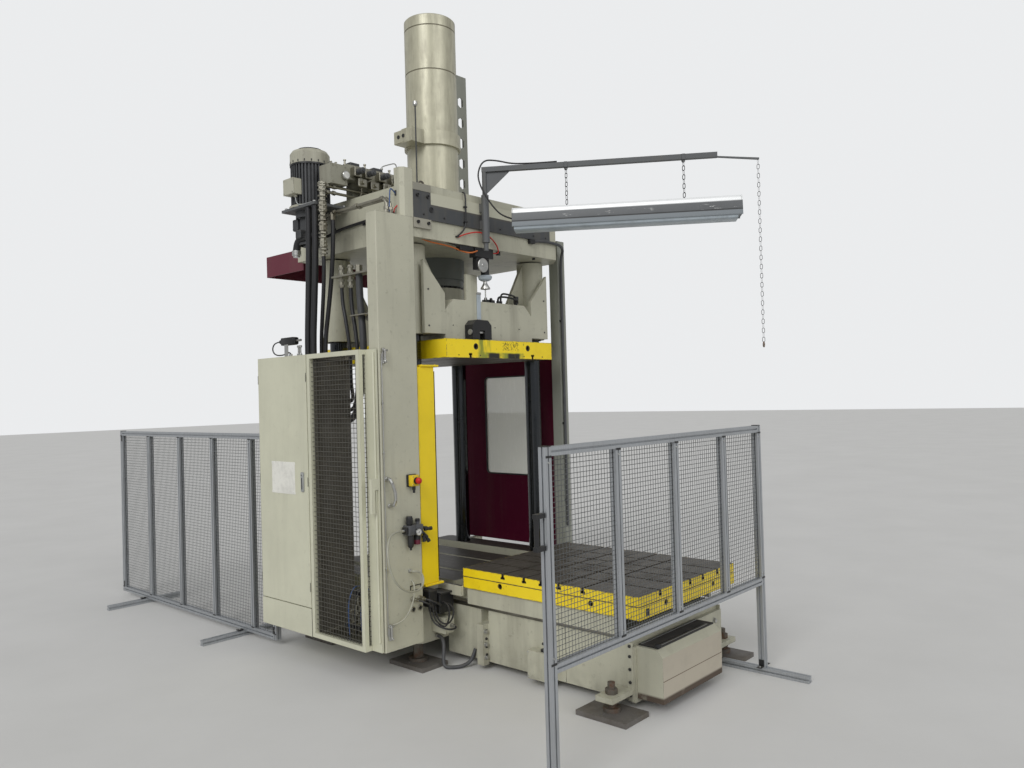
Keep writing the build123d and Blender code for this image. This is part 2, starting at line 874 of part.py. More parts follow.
# Ram: box body with a boss, and at each guide sleeve a wing, a plate outside it and a gusset
with BuildPart() as ram_body:
    block(-ram_half_x, ram_half_x, -ram_half_y, ram_half_y, ram_platen_low + platen_t, ram_high)
    chamfer(ram_body.faces().sort_by(Axis.Z)[-1].edges().filter_by(Axis.Y), ram_corner_cut)
    upright(0, 0, ram_high, boss_high, boss_r)
    block(sensor_plate_left, sensor_plate_right, -ram_half_y, -ram_half_y + sensor_plate_t, ram_high,
          sensor_plate_high)
    for side, end in ((-1, -1), (-1, 1), (1, -1), (1, 1)):
        x_in = side * plate_in_x
        x_out = side * column_x
        y_in = end * (column_y - wing_half_y)
        y_out = end * ram_half_y
        block(min(x_in, x_out), max(x_in, x_out), min(y_in, y_out), max(y_in, y_out), wing_low, ram_high)
        with BuildSketch(Plane.XZ.offset(-y_out)) as outer_plate:
            with BuildLine():
                Polyline(
                    (x_in, wing_low),
                    (side * plate_out_x, wing_low),
                    (side * plate_out_x, plate_out_high),
                    (x_in, plate_in_high),
                    close=True,
                )
            make_face()
        extrude(amount=end * outer_plate_t)
        with BuildSketch(Plane.XZ.offset(-end * column_y - gusset_t / 2)) as gusset:
            with BuildLine():
                Polyline(
                    (side * gusset_in_x, ram_high),
                    (x_out, ram_high),
                    (x_out, gusset_high),
                    (side * (column_x - sleeve_r), gusset_high),
                    close=True,
                )
            make_face()
        extrude(amount=gusset_t)
    for x, y in columns_xy():
        upright(x, y, wing_low, gusset_high, sleeve_r, Mode.SUBTRACT)
keep(ram_body, "ram_body")

# Hook on the ram's front, with a slot down its middle
hook_x = (hook_left + hook_right) / 2
with BuildPart() as platen_hook:
    block(hook_left, hook_right, -ram_half_y - hook_reach, -ram_half_y, hook_low, hook_high)
    chamfer(platen_hook.faces().sort_by(Axis.Z)[-1].edges().filter_by(Axis.Y), hook_bevel)
    block(hook_x - hook_slot / 2, hook_x + hook_slot / 2, -ram_half_y - hook_reach, -ram_half_y,
          hook_low, hook_low + hook_slot_depth, Mode.SUBTRACT)
keep(platen_hook, "platen_hook")

with BuildPart() as guide_sleeves:
    for x, y in columns_xy():
        upright(x, y, sleeve_low, sleeve_high, sleeve_r)
        upright(x, y, sleeve_low, sleeve_high, column_d / 2 + sleeve_gap, Mode.SUBTRACT)
keep(guide_sleeves, "guide_sleeves")

with BuildPart() as piston_rod:
    upright(0, 0, boss_high, rod_high, rod_r)
keep(piston_rod, "piston_rod")


def t_slot(section_plane, into, length):
    """Cut one T slot: its section lies in the plane, its mouth on the plane's origin."""
    mouth = into * slot_depth
    foot = into * (slot_depth + slot_foot_depth)
    half = slot_width / 2
    wide = slot_foot_width / 2
    with BuildSketch(section_plane) as slot:
        with BuildLine():
            Polyline((-half, 0), (-half, mouth), (-wide, mouth), (-wide, foot),
                     (wide, foot), (wide, mouth), (half, mouth), (half, 0), close=True)
        make_face()
    extrude(slot.sketch, amount=-length, mode=Mode.SUBTRACT)


def lifting_holes(centre_y, z):
    """Bore two blind holes in each side of a platen."""
    for end in (-1, 1):
        for side in (-1, 1):
            depth = lift_hole_depth / 2
            with Locations(Location((side * front_hole_x, centre_y + end * (platen_y / 2 - depth), z), (90, 0, 0))):
                Cylinder(lift_hole_r, lift_hole_depth, mode=Mode.SUBTRACT)
            with Locations(Location((side * (platen_x / 2 - depth), centre_y + end * side_hole_y, z), (0, 90, 0))):
                Cylinder(lift_hole_r, lift_hole_depth, mode=Mode.SUBTRACT)


# Upper platen on the ram, with T slots along Y in its lower face
with BuildPart() as upper_platen:
    block(-platen_x / 2, platen_x / 2, -platen_y / 2, platen_y / 2, ram_platen_low, ram_platen_low + platen_t)
    for x in ram_slots_x:
        front = Plane(origin=(x, -platen_y / 2, ram_platen_low), x_dir=(1, 0, 0), z_dir=(0, -1, 0))
        t_slot(front, 1, platen_y)
    lifting_holes(0, ram_platen_low + ram_hole_rise)
keep(upper_platen, "upper_platen")

# Lower platen, the table, with crossing T slots in its top face and a groove round its edge
table_high = table_low + platen_t
table_front = table_centre_y - platen_y / 2
table_rear = table_centre_y + platen_y / 2
with BuildPart() as lower_platen:
    block(-platen_x / 2, platen_x / 2, table_front, table_rear, table_low, table_high)
    for x in table_slots_x:
        front = Plane(origin=(x, table_front, table_high), x_dir=(1, 0, 0), z_dir=(0, -1, 0))
        t_slot(front, -1, platen_y)
    for y in table_slots_y:
        slot_y = table_centre_y + table_slot_shift + y
        right = Plane(origin=(platen_x / 2, slot_y, table_high), x_dir=(0, 1, 0), z_dir=(1, 0, 0))
        t_slot(right, -1, platen_x)
    lifting_holes(table_centre_y, table_low + table_hole_rise)
    groove_low = table_low + edge_groove_rise
    for side in (-1, 1):
        edge = side * platen_x / 2
        inner = side * (platen_x / 2 - edge_groove_depth)
        block(min(edge, inner), max(edge, inner), table_front, table_rear, groove_low,
              groove_low + edge_groove_width, Mode.SUBTRACT)
    block(-platen_x / 2, platen_x / 2, table_front, table_front + edge_groove_depth, groove_low,
          groove_low + edge_groove_width, Mode.SUBTRACT)
keep(lower_platen, "lower_platen")

# Carriage: a beam under each side of the table, on rollers that run on the rails
carriage_front = table_front + carriage_front_gap
carriage_rear = table_rear - carriage_rear_gap
with BuildPart() as table_carriage:
    for side in (-1, 1):
        outer = side * skirt_out
        inner = side * flange_in
        block(min(outer, inner), max(outer, inner), carriage_front, carriage_rear, flange_low, table_low)
        inner = side * skirt_in
        block(min(outer, inner), max(outer, inner), carriage_front, carriage_rear, carriage_low, flange_low)
keep(table_carriage, "table_carriage")

roller_z = rail_high + running_gap + roller_r
roller_y = (carriage_front + carriage_rear) / 2
with BuildPart() as carriage_rollers:
    for side in (-1, 1):
        for count in range(rollers_a_side):
            y = roller_y + (count - (rollers_a_side - 1) / 2) * roller_pitch
            with Locations(Location((side * rail_x, y, roller_z), (0, 90, 0))):
                Cylinder(roller_r, roller_width)
            for cheek in (-1, 1):
                x = side * rail_x + cheek * (roller_width + roller_cheek) / 2
                block(x - roller_cheek / 2, x + roller_cheek / 2, y - roller_r + cheek_inset,
                      y + roller_r - cheek_inset, roller_z - cheek_drop, flange_low)
keep(carriage_rollers, "carriage_rollers")

# Lamp jib: a socket on the beam, a post that turns in it, an arm, chains and the fitting
beam_face = front_face - beam_t
with BuildPart() as jib_socket:
    upright(jib_x, jib_y, socket_low, socket_high, socket_r)
    for z in (beam_low, beam_high - jib_lug_z):
        block(jib_x - jib_lug_x, jib_x + jib_lug_x, jib_y, beam_face, z, z + jib_lug_z)
    upright(jib_x, jib_y, socket_low, socket_high, jib_r + running_gap, Mode.SUBTRACT)
keep(jib_socket, "jib_socket")

arm_x = math.cos(math.radians(arm_angle))
arm_y = math.sin(math.radians(arm_angle))
arm_plane = Plane(origin=(jib_x, jib_y, 0), x_dir=(arm_x, arm_y, 0), z_dir=(0, 0, 1))
arm_low = arm_z - arm_size / 2
with BuildPart() as jib_arm:
    upright(jib_x, jib_y, jib_tip_low, arm_low, jib_r)
    upright(jib_x, jib_y, socket_high + running_gap, socket_high + thrust_ring_t, socket_r)
    with BuildSketch(arm_plane.offset(arm_low)):
        with Locations((arm_length / 2 - jib_r, 0)):
            Rectangle(arm_length, arm_size)
    extrude(amount=arm_size)
    with BuildSketch(Plane(origin=(jib_x, jib_y, 0), x_dir=(arm_x, arm_y, 0), z_dir=(arm_y, -arm_x, 0))):
        with BuildLine():
            Polyline((0, arm_gusset_low), (arm_gusset_reach, arm_low), (0, arm_low), close=True)
        make_face()
    extrude(amount=arm_gusset_t / 2, both=True)
    with BuildSketch(Plane(origin=(jib_x, jib_y, 0), x_dir=(arm_x, arm_y, 0), z_dir=(arm_y, -arm_x, 0))):
        with BuildLine():
            Polyline((pull_start, pull_rod_high), (pull_end, pull_eye_high), (pull_end, pull_eye_low),
                     (pull_end - pull_eye, pull_eye_low), (pull_start, pull_rod_high - pull_rod_t), close=True)
        make_face()
    extrude(amount=pull_rod_t / 2, both=True)
keep(jib_arm, "jib_arm")

with BuildPart() as lamp_chains:
    for distance in (chain_at_a, chain_at_b):
        with BuildSketch(arm_plane.offset(lamp_high)):
            with Locations((distance, 0)):
                Circle(chain_r)
        extrude(amount=arm_low - lamp_high)
    with BuildSketch(arm_plane.offset(pull_chain_low)):
        with Locations((pull_end - pull_eye / 2, 0)):
            Circle(pull_chain_r)
    extrude(amount=pull_eye_low - pull_chain_low)
keep(lamp_chains, "lamp_chains")

# Lamp: a folded housing with slanted shoulders, and the narrower pane under it
pane_length = lamp_length - pane_start_gap - pane_end_gap
with BuildPart() as lamp_fitting:
    for outline, start, length in (
        (housing_outline, lamp_start, lamp_length),
        (pane_outline, lamp_start + pane_start_gap, pane_length),
    ):
        origin = (jib_x + start * arm_x, jib_y + start * arm_y, 0)
        with BuildSketch(Plane(origin=origin, x_dir=(-arm_y, arm_x, 0), z_dir=(arm_x, arm_y, 0))):
            with BuildLine():
                Polyline(*outline, close=True)
            make_face()
        extrude(amount=length)
keep(lamp_fitting, "lamp_fitting")

# Cable of the lamp: from the fitting's end up round the post and along the top of the arm
cable_points = []
for along, aside, z in lamp_cable_route:
    cable_points.append((jib_x + along * arm_x + aside * arm_y, jib_y + along * arm_y - aside * arm_x, z))
with BuildPart() as lamp_cable:
    tube("lamp cable", lamp_cable_d, cable_points)
keep(lamp_cable, "lamp_cable")

# Motor and pump on a plate at the crosshead's left side
with BuildPart() as pump_plate:
    block(plate_left, -crosshead_half_x, plate_front, plate_rear, plate_z, plate_z + plate_t)
keep(pump_plate, "pump_plate")

fin_outline = []
for fin in range(fins):
    for share, radius in ((0, motor_r - fin_depth), (0, motor_r), (fin_fill, motor_r), (fin_fill, motor_r - fin_depth)):
        angle = 2 * math.pi * (fin + share) / fins
        fin_outline.append((radius * math.cos(angle), radius * math.sin(angle)))
with BuildPart() as motor_body:
    with BuildSketch(Plane(origin=(motor_x, motor_y, plate_z + plate_t))):
        with BuildLine():
            Polyline(*fin_outline, close=True)
        make_face()
    extrude(amount=motor_high - plate_z - plate_t)
    block(motor_x - motor_r - terminal_reach, motor_x - terminal_seat, motor_y - terminal_y, motor_y + terminal_y,
          terminal_low, terminal_high, Mode.SUBTRACT)
keep(motor_body, "motor_body")

with BuildPart() as motor_cowl:
    with BuildSketch(Plane(origin=(motor_x, motor_y, 0), x_dir=(1, 0, 0), z_dir=(0, -1, 0))):
        with BuildLine():
            Polyline(*cowl_profile, close=True)
        make_face()
    revolve(axis=Axis((motor_x, motor_y, 0), (0, 0, 1)))
keep(motor_cowl, "motor_cowl")

# Terminal box of the motor and the junction box on the table base
with BuildPart() as terminal_box:
    block(motor_x - motor_r - terminal_reach, motor_x - terminal_seat, motor_y - terminal_y,
          motor_y + terminal_y, terminal_low, terminal_high)
    block(-base_half_x - junction_reach, -base_half_x, junction_front, junction_rear, junction_low,
          junction_high)
keep(terminal_box, "terminal_box")

with BuildPart() as pump_body:
    upright(motor_x, motor_y, pump_low, plate_z, pump_r)
keep(pump_body, "pump_body")

# Valve block on a foot, with the valve box at its left end
with BuildPart() as valve_manifold:
    block(manifold_left, manifold_right, manifold_front, manifold_rear, manifold_low, manifold_high)
    block(manifold_leg_left, manifold_leg_right, manifold_leg_front, manifold_rear, crosshead_high, manifold_low)
    block(valve_box_left, manifold_left, manifold_front, manifold_rear, valve_box_low, valve_box_high)
keep(valve_manifold, "valve_manifold")

# Pipework: the fitting stack, the pipes of the valve block and the riser, the hose brackets
# with their fittings, and the port block behind the cabinet
with BuildPart() as pipework:
    for low, high, radius in stack_levels:
        hexagon(stack_x, stack_y, low, high, radius)
    for route in valve_pipe_routes + riser_pipe_routes:
        tube("pipe", pipe_d, route)
    for x, y, low, high, radius in fittings:
        hexagon(x, y, low, high, radius)
    block(hose_plate_left, hose_plate_right, cage_front, hose_plate_rear, hose_plate_low,
          hose_plate_low + hose_plate_t)
    block(saddle_left, saddle_right, cage_front, saddle_rear, saddle_high - saddle_t, saddle_high)
    upright(saddle_hole_x, saddle_hole_y, saddle_high - saddle_t, saddle_high, saddle_hole_r, Mode.SUBTRACT)
    with BuildSketch(Plane.YZ.offset(saddle_right - saddle_t)) as saddle_side:
        with BuildLine():
            Polyline((cage_front, saddle_high), (saddle_rear, saddle_high), (cage_front, saddle_low), close=True)
        make_face()
    extrude(amount=saddle_t)
    block(cabinet_right, port_block_right, port_block_front, port_block_rear, port_block_low, port_block_high)
keep(pipework, "pipework")

with BuildPart() as drive_hoses:
    for hose_d, hose_points in hose_routes:
        tube("hose", hose_d, hose_points)
keep(drive_hoses, "drive_hoses")

# Small units on the riser's front
with BuildPart() as emergency_stop:
    block(stop_x - stop_half_x, stop_x + stop_half_x, riser_front - stop_depth, riser_front,
          stop_z - stop_half_z, stop_z + stop_half_z)
keep(emergency_stop, "emergency_stop")

with BuildPart() as air_unit:
    block(air_x - air_left, air_x + air_right, riser_front - air_depth, riser_front,
          air_z - air_half_z, air_z + air_half_z)
    upright(air_x, riser_front - bowl_out, air_z + air_half_z, air_z + knob_rise, bowl_r)
    for x in (air_x, air_x + bowl_pitch):
        upright(x, riser_front - bowl_out, air_z - bowl_drop, air_z - air_half_z, bowl_r)
keep(air_unit, "air_unit")


def profile_section():
    """Square aluminium profile with a slot in each side."""
    Rectangle(profile, profile)
    reach = profile / 2 - profile_slot_depth / 2
    with Locations((reach, 0), (-reach, 0)):
        Rectangle(profile_slot_depth, profile_slot, mode=Mode.SUBTRACT)
    with Locations((0, reach), (0, -reach)):
        Rectangle(profile_slot, profile_slot_depth, mode=Mode.SUBTRACT)


def bar(start, direction, length):
    """Extrude the profile from a start point along a direction."""
    across = (0, 0, 1) if direction[2] == 0 else (1, 0, 0)
    with BuildSketch(Plane(origin=start, z_dir=direction, x_dir=across)) as section:
        profile_section()
    extrude(section.sketch, amount=length)


half = profile / 2

# Left fence beside the cabinet, on two floor bars
with BuildPart() as left_fence:
    for y in (left_fence_near + half, left_fence_far - half):
        bar((left_fence_x, y, left_fence_low), (0, 0, 1), fence_high - left_fence_low)
    inner_length = left_fence_far - left_fence_near - 2 * profile
    for z in (left_fence_low + half, fence_high - half):
        bar((left_fence_x, left_fence_near + profile, z), (0, 1, 0), inner_length)
    for y in left_mullions:
        bar((left_fence_x, y, left_fence_low + profile), (0, 0, 1), fence_high - left_fence_low - 2 * profile)
keep(left_fence, "left_fence")

# Right fence across the front, on two floor bars
with BuildPart() as right_fence:
    for x in (right_fence_left + half, right_fence_right - half):
        bar((x, right_fence_y, profile), (0, 0, 1), fence_high - profile)
    inner_length = right_fence_right - right_fence_left - 2 * profile
    for z in (right_fence_low + half, fence_high - half):
        bar((right_fence_left + profile, right_fence_y, z), (1, 0, 0), inner_length)
    for x in right_mullions:
        bar((x, right_fence_y, right_fence_low + profile), (0, 0, 1), fence_high - right_fence_low - 2 * profile)
keep(right_fence, "right_fence")

# Floor bars under both fences
with BuildPart() as fence_feet:
    for y in left_feet:
        bar((left_foot_from, y, half), (1, 0, 0), left_foot_to - left_foot_from)
        block(left_fence_x - half, left_fence_x + half, y - foot_block_y, y + foot_block_y, profile,
              left_fence_low)
    for x in (right_fence_left + half, right_fence_right - half):
        bar((x, right_foot_from, half), (0, 1, 0), right_foot_to - right_foot_from)
keep(fence_feet, "fence_feet")

with BuildPart() as fence_handle:
    handle_x = right_fence_left - handle_reach
    upright(handle_x, right_fence_y, handle_low, handle_high, handle_r)
    for z in (handle_low, handle_high):
        block(handle_x - handle_r, right_fence_left, right_fence_y - handle_arm_y, right_fence_y + handle_arm_y,
              z - handle_arm_z, z + handle_arm_z)
keep(fence_handle, "fence_handle")


def fence_mesh(spans, z_low, z_high):
    """Wire mesh between the fence's uprights: one rectangle a bay, cut by a grid of openings."""
    for start, end in spans:
        width = end - start
        height = z_high - z_low
        columns = int((width - fence_mesh_wire) / fence_mesh_pitch)
        rows = int((height - fence_mesh_wire) / fence_mesh_pitch)
        with Locations(((start + end) / 2, (z_low + z_high) / 2)):
            Rectangle(width, height)
            with GridLocations(width / (columns + 1), height / (rows + 1), columns + 1, rows + 1):
                Rectangle(width / (columns + 1) - fence_mesh_wire, height / (rows + 1) - fence_mesh_wire,
                          mode=Mode.SUBTRACT)


def bays(first, last, mullions):
    """The free spans between the end posts and the mullions."""
    starts = [first + profile] + [m + half for m in mullions]
    ends = [m - half for m in mullions] + [last - profile]
    return list(zip(starts, ends))


with BuildPart() as left_fence_mesh:
    with BuildSketch(Plane.YZ.offset(left_fence_x - fence_mesh_wire / 2)):
        fence_mesh(bays(left_fence_near, left_fence_far, left_mullions), left_fence_low + profile,
                   fence_high - profile)
    extrude(amount=fence_mesh_wire)
keep(left_fence_mesh, "left_fence_mesh")

with BuildPart() as right_fence_mesh:
    with BuildSketch(Plane.XZ.offset(-right_fence_y - fence_mesh_wire / 2)):
        fence_mesh(bays(right_fence_left, right_fence_right, right_mullions), right_fence_low + profile,
                   fence_high - profile)
    extrude(amount=fence_mesh_wire)
keep(right_fence_mesh, "right_fence_mesh")
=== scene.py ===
# %% [markdown]
# # A die spotting press
# The press is a tall steel machine: a ram hangs between four columns, a table
# rolls out in front of it, and a cabinet, fences and a lamp stand round it.
# The solids come packed as a fixed frame. This script gives them their
# finishes, and adds the pieces that are too fine for solids: wire, hoses,
# bolts, fittings, valves and cables.

# %% Load the frame
import math
from itertools import product
import bmesh
import bpy
from mathutils import Matrix, Vector


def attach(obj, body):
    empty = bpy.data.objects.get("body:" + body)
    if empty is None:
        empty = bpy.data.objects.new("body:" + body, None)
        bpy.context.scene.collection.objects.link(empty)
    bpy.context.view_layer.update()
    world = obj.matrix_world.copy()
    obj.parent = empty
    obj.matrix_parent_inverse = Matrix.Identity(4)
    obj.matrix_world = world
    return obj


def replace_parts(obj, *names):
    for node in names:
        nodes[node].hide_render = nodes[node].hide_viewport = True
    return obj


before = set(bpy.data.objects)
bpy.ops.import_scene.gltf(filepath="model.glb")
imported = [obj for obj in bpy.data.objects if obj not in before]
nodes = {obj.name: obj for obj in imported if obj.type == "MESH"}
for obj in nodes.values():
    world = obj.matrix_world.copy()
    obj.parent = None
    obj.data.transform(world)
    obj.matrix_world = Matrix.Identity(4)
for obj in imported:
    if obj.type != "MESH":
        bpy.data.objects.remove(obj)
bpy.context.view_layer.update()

# %% [markdown]
# ## Camera
# The camera stands where the photographer stood, left of the press and at
# standing height. A camera looks along its own -Z with +Y up, so its matrix
# is made of three directions: right, up and backwards. That is more direct
# than three angles, because the small roll of a hand-held picture comes last.

# %% Camera
camera_place = Vector((-4.19, -4.512, 1.718))
yaw, pitch, roll = (math.radians(degrees) for degrees in (41.973, 0.8855, 1.5975))
focal_length, film_width, far_clip = 28.54, 36.0, 500.0
forward = Vector((
    math.cos(yaw) * math.cos(pitch),
    math.sin(yaw) * math.cos(pitch),
    math.sin(pitch),
))
level_right = Vector((math.sin(yaw), -math.cos(yaw), 0.0))
level_down = forward.cross(level_right)
right = math.cos(roll) * level_right + math.sin(roll) * level_down
down = math.cos(roll) * level_down - math.sin(roll) * level_right
lens = bpy.data.cameras.new("camera")
lens.lens = focal_length
lens.sensor_width = film_width
lens.clip_end = far_clip
camera = bpy.data.objects.new("camera", lens)
axes = Matrix((right, -down, -forward)).transposed()
camera.matrix_world = Matrix.Translation(camera_place) @ axes.to_4x4()
bpy.context.scene.collection.objects.link(camera)
bpy.context.scene.camera = camera
bpy.context.scene.view_settings.view_transform = "Standard"
print("camera looks along", [round(v, 3) for v in forward])

# %% [markdown]
# ## Light
# A hall has light from everywhere and a little more from one side. A plain
# world gives the first, and two wide suns give the second. The sum is about
# one on a face that turns to the light, so a colour renders as it is written.
# Light Path shows the camera a paler backdrop than the one that lights the
# press.

# %% World and suns
world = bpy.data.worlds.new("hall")
bpy.context.scene.world = world
world.use_nodes = True
world_nodes, world_links = world.node_tree.nodes, world.node_tree.links
backdrop = world_nodes["Background"]
backdrop.inputs["Color"].default_value = (0.8, 0.81, 0.82, 1.0)
backdrop.inputs["Strength"].default_value = 0.56
seen = world_nodes.new("ShaderNodeBackground")
seen.inputs["Color"].default_value = (0.83, 0.84, 0.85, 1.0)
seen.inputs["Strength"].default_value = 1.0
which = world_nodes.new("ShaderNodeMixShader")
ray = world_nodes.new("ShaderNodeLightPath")
world_links.new(ray.outputs["Is Camera Ray"], which.inputs["Fac"])
world_links.new(backdrop.outputs[0], which.inputs[1])
world_links.new(seen.outputs[0], which.inputs[2])
world_links.new(which.outputs[0], world_nodes["World Output"].inputs["Surface"])


def sun(name, towards, strength, spread):
    """A sun that shines along a direction, soft by its spread in degrees."""
    lamp = bpy.data.lights.new(name, "SUN")
    lamp.energy = strength
    lamp.angle = math.radians(spread)
    lit = bpy.data.objects.new(name, lamp)
    lit.rotation_euler = Vector(towards).to_track_quat("-Z", "Y").to_euler()
    bpy.context.scene.collection.objects.link(lit)


sun("window_side", (0.85, 0.3, -0.62), 1.35, 30)
sun("hall_front", (0.1, 0.95, -0.45), 0.66, 40)

# %% [markdown]
# ## Finishes
# Nearly every surface here is painted or plain steel with years of use on it.
# A finish is therefore built in layers over one base: broad stains, streaks
# that run down, dirt in corners, and wear where edges rub. Each layer is a
# mask between 0 and 1 that mixes a colour and a roughness in. All masks read
# Object coordinates, which are metres here, so a scale is a real size.
# The Bevel node compares the rounded normal with the true one, which finds
# edges on any mesh, even on loose triangles.

# %% A finish in layers


class Finish:
    """A Principled material whose layers are mixed in one after the other."""

    def __init__(self, name, colour, roughness, metallic=0.0):
        self.name = name
        self.material = bpy.data.materials.new(name)
        self.material.use_nodes = True
        self.tree = self.material.node_tree
        self.skin = self.tree.nodes["Principled BSDF"]
        self.place = self.node("ShaderNodeTexCoord").outputs["Object"]
        self.colour, self.roughness, self.metallic = colour, roughness, metallic
        self.normal = None

    def node(self, kind, **settings):
        made = self.tree.nodes.new(kind)
        for key, value in settings.items():
            setattr(made, key, value)
        return made

    def feed(self, socket, value):
        if isinstance(value, bpy.types.NodeSocket):
            self.tree.links.new(value, socket)
        elif isinstance(value, tuple) and socket.type == "RGBA":
            socket.default_value = (*value[:3], 1.0)
        else:
            socket.default_value = value

    def stretched(self, stretch):
        """The point's place with each axis scaled, which draws a noise out."""
        mapping = self.node("ShaderNodeMapping")
        self.feed(mapping.inputs["Vector"], self.place)
        mapping.inputs["Scale"].default_value = stretch
        return mapping.outputs["Vector"]

    def between(self, value, low, high):
        """0 below low, 1 above high, even between; turned round if low is above high."""
        ranged = self.node("ShaderNodeMapRange", clamp=True)
        self.feed(ranged.inputs["Value"], value)
        ranged.inputs["From Min"].default_value = low
        ranged.inputs["From Max"].default_value = high
        return ranged.outputs["Result"]

    def cloud(self, scale, low=0.0, high=1.0, detail=5.0, stretch=(1.0, 1.0, 1.0)):
        """Noise with scale cells in a metre, cut to what lies between low and high."""
        noise = self.node("ShaderNodeTexNoise")
        self.feed(noise.inputs["Vector"], self.stretched(stretch))
        noise.inputs["Scale"].default_value = scale
        noise.inputs["Detail"].default_value = detail
        noise.inputs["Roughness"].default_value = 0.62
        return self.between(noise.outputs["Fac"], low, high)

    def both(self, *masks):
        """The product of masks and amounts, so 1 only where all of them are."""
        result = masks[0]
        for mask in masks[1:]:
            times = self.node("ShaderNodeMath", operation="MULTIPLY")
            self.feed(times.inputs[0], result)
            self.feed(times.inputs[1], mask)
            result = times.outputs[0]
        return result

    def along(self, axis):
        """The x, y or z of the point on the press, in metres."""
        split = self.node("ShaderNodeSeparateXYZ")
        self.feed(split.inputs[0], self.place)
        return split.outputs["XYZ".index(axis)]

    def band(self, axis, low, high, soft=0.001):
        """1 where the point lies between low and high on that axis."""
        value = self.along(axis)
        return self.both(
            self.between(value, low - soft, low + soft),
            self.between(value, high + soft, high - soft),
        )

    def turned(self, axis, low, high):
        """1 where the face turns to + on that axis; negative low and high take the - side."""
        split = self.node("ShaderNodeSeparateXYZ")
        self.feed(split.inputs[0], self.node("ShaderNodeNewGeometry").outputs["True Normal"])
        return self.between(split.outputs["XYZ".index(axis)], low, high)

    def bare_edge(self, radius):
        """1 near an edge of the mesh, from the Bevel node's rounded normal."""
        dot = self.node("ShaderNodeVectorMath", operation="DOT_PRODUCT")
        self.feed(dot.inputs[0], self.rounded_normal(radius))
        self.feed(dot.inputs[1], self.node("ShaderNodeNewGeometry").outputs["True Normal"])
        nearly_flat, sharp = 0.97, 0.78
        return self.between(dot.outputs["Value"], nearly_flat, sharp)

    def coat(self, mask, colour=None, roughness=None, metallic=None):
        """Mixes a colour, a roughness or a metalness in where the mask is 1."""
        if colour is not None:
            self.colour = self.mixed("RGBA", mask, self.colour, colour)
        if roughness is not None:
            self.roughness = self.mixed("FLOAT", mask, self.roughness, roughness)
        if metallic is not None:
            self.metallic = self.mixed("FLOAT", mask, self.metallic, metallic)

    def mixed(self, kind, mask, under, over):
        """A Mix node keeps every kind's sockets, so each kind has its own numbers."""
        first, second, result = {"FLOAT": (2, 3, 0), "RGBA": (6, 7, 2)}[kind]
        mix = self.node("ShaderNodeMix", data_type=kind)
        self.feed(mix.inputs["Factor"], mask)
        self.feed(mix.inputs[first], under)
        self.feed(mix.inputs[second], over)
        return mix.outputs[result]

    def rounded_normal(self, radius):
        bevel = self.node("ShaderNodeBevel", samples=6)
        bevel.inputs["Radius"].default_value = radius
        return bevel.outputs[0]

    def soften(self, radius):
        """Rounds the edges' shading by a radius in metres."""
        self.normal = self.rounded_normal(radius)

    def bump(self, height, distance, strength):
        """Raises the surface by a mask, up to a distance in metres."""
        made = self.node("ShaderNodeBump")
        made.inputs["Strength"].default_value = strength
        made.inputs["Distance"].default_value = distance
        self.feed(made.inputs["Height"], height)
        if self.normal is not None:
            self.feed(made.inputs["Normal"], self.normal)
        self.normal = made.outputs[0]

    def done(self, **sockets):
        """Joins the layers to the Principled node and keeps the material by its finish's name."""
        self.feed(self.skin.inputs["Base Color"], self.colour)
        self.feed(self.skin.inputs["Roughness"], self.roughness)
        self.feed(self.skin.inputs["Metallic"], self.metallic)
        if self.normal is not None:
            self.feed(self.skin.inputs["Normal"], self.normal)
        for key, value in sockets.items():
            self.feed(self.skin.inputs[key.replace("_", " ")], value)
        finishes[self.name] = self.material
        return self.material


finishes = {}
print("layers ready:", [n for n in dir(Finish) if not n.startswith("_")])

# %% [markdown]
# ## Machine paint
# The castings, the riser and the cabinet wear a satin cream enamel. On the
# real press it is cloudy from wiping, streaked below oily joints, darker
# where hands and boots reach it, and rubbed down to a dark primer on edges.
# One function mixes these, so that every painted piece shares the same
# habits and only the colour and the amount of dirt change.

# %% Machine paint
# The primer's dark tone, shown on rubbed edges; on the front beam it also paints a shadow line.
primer_and_shadow_tone = (0.085, 0.078, 0.07)
oily_dirt = (0.13, 0.115, 0.085)
floor_dirt = (0.075, 0.066, 0.052)
upright = (1.0, 1.0, 0.1)


def machine_paint(name, colour, roughness=0.42, dirt=0.5, wear=0.6, foot_dirt=0.0):
    """A painted metal with clouding, streaks, spots and rubbed edges."""
    paint = Finish(name, colour, roughness)
    paint.coat(paint.cloud(1.7, 0.38, 0.72), tuple(0.86 * c for c in colour), roughness + 0.1)
    paint.coat(paint.both(paint.cloud(7.0, 0.5, 0.8, stretch=upright), dirt), oily_dirt)
    paint.coat(paint.both(paint.cloud(26.0, 0.6, 0.74), 0.7 * dirt), oily_dirt, roughness + 0.2)
    paint.coat(paint.both(paint.cloud(140.0, 0.7, 0.74, detail=2.0), 0.8 * dirt), primer_and_shadow_tone)
    if foot_dirt:
        low = paint.both(paint.between(paint.along("Z"), 0.22, 0.04), paint.cloud(9.0, 0.3, 0.62))
        paint.coat(paint.both(low, foot_dirt), floor_dirt, 0.75)
    rubbed = paint.both(paint.bare_edge(0.007), paint.cloud(19.0, 0.44, 0.62), wear)
    paint.coat(rubbed, primer_and_shadow_tone, 0.55)
    paint.soften(0.0025)
    paint.bump(paint.cloud(310.0, detail=2.0), 0.0006, 0.22)
    return paint


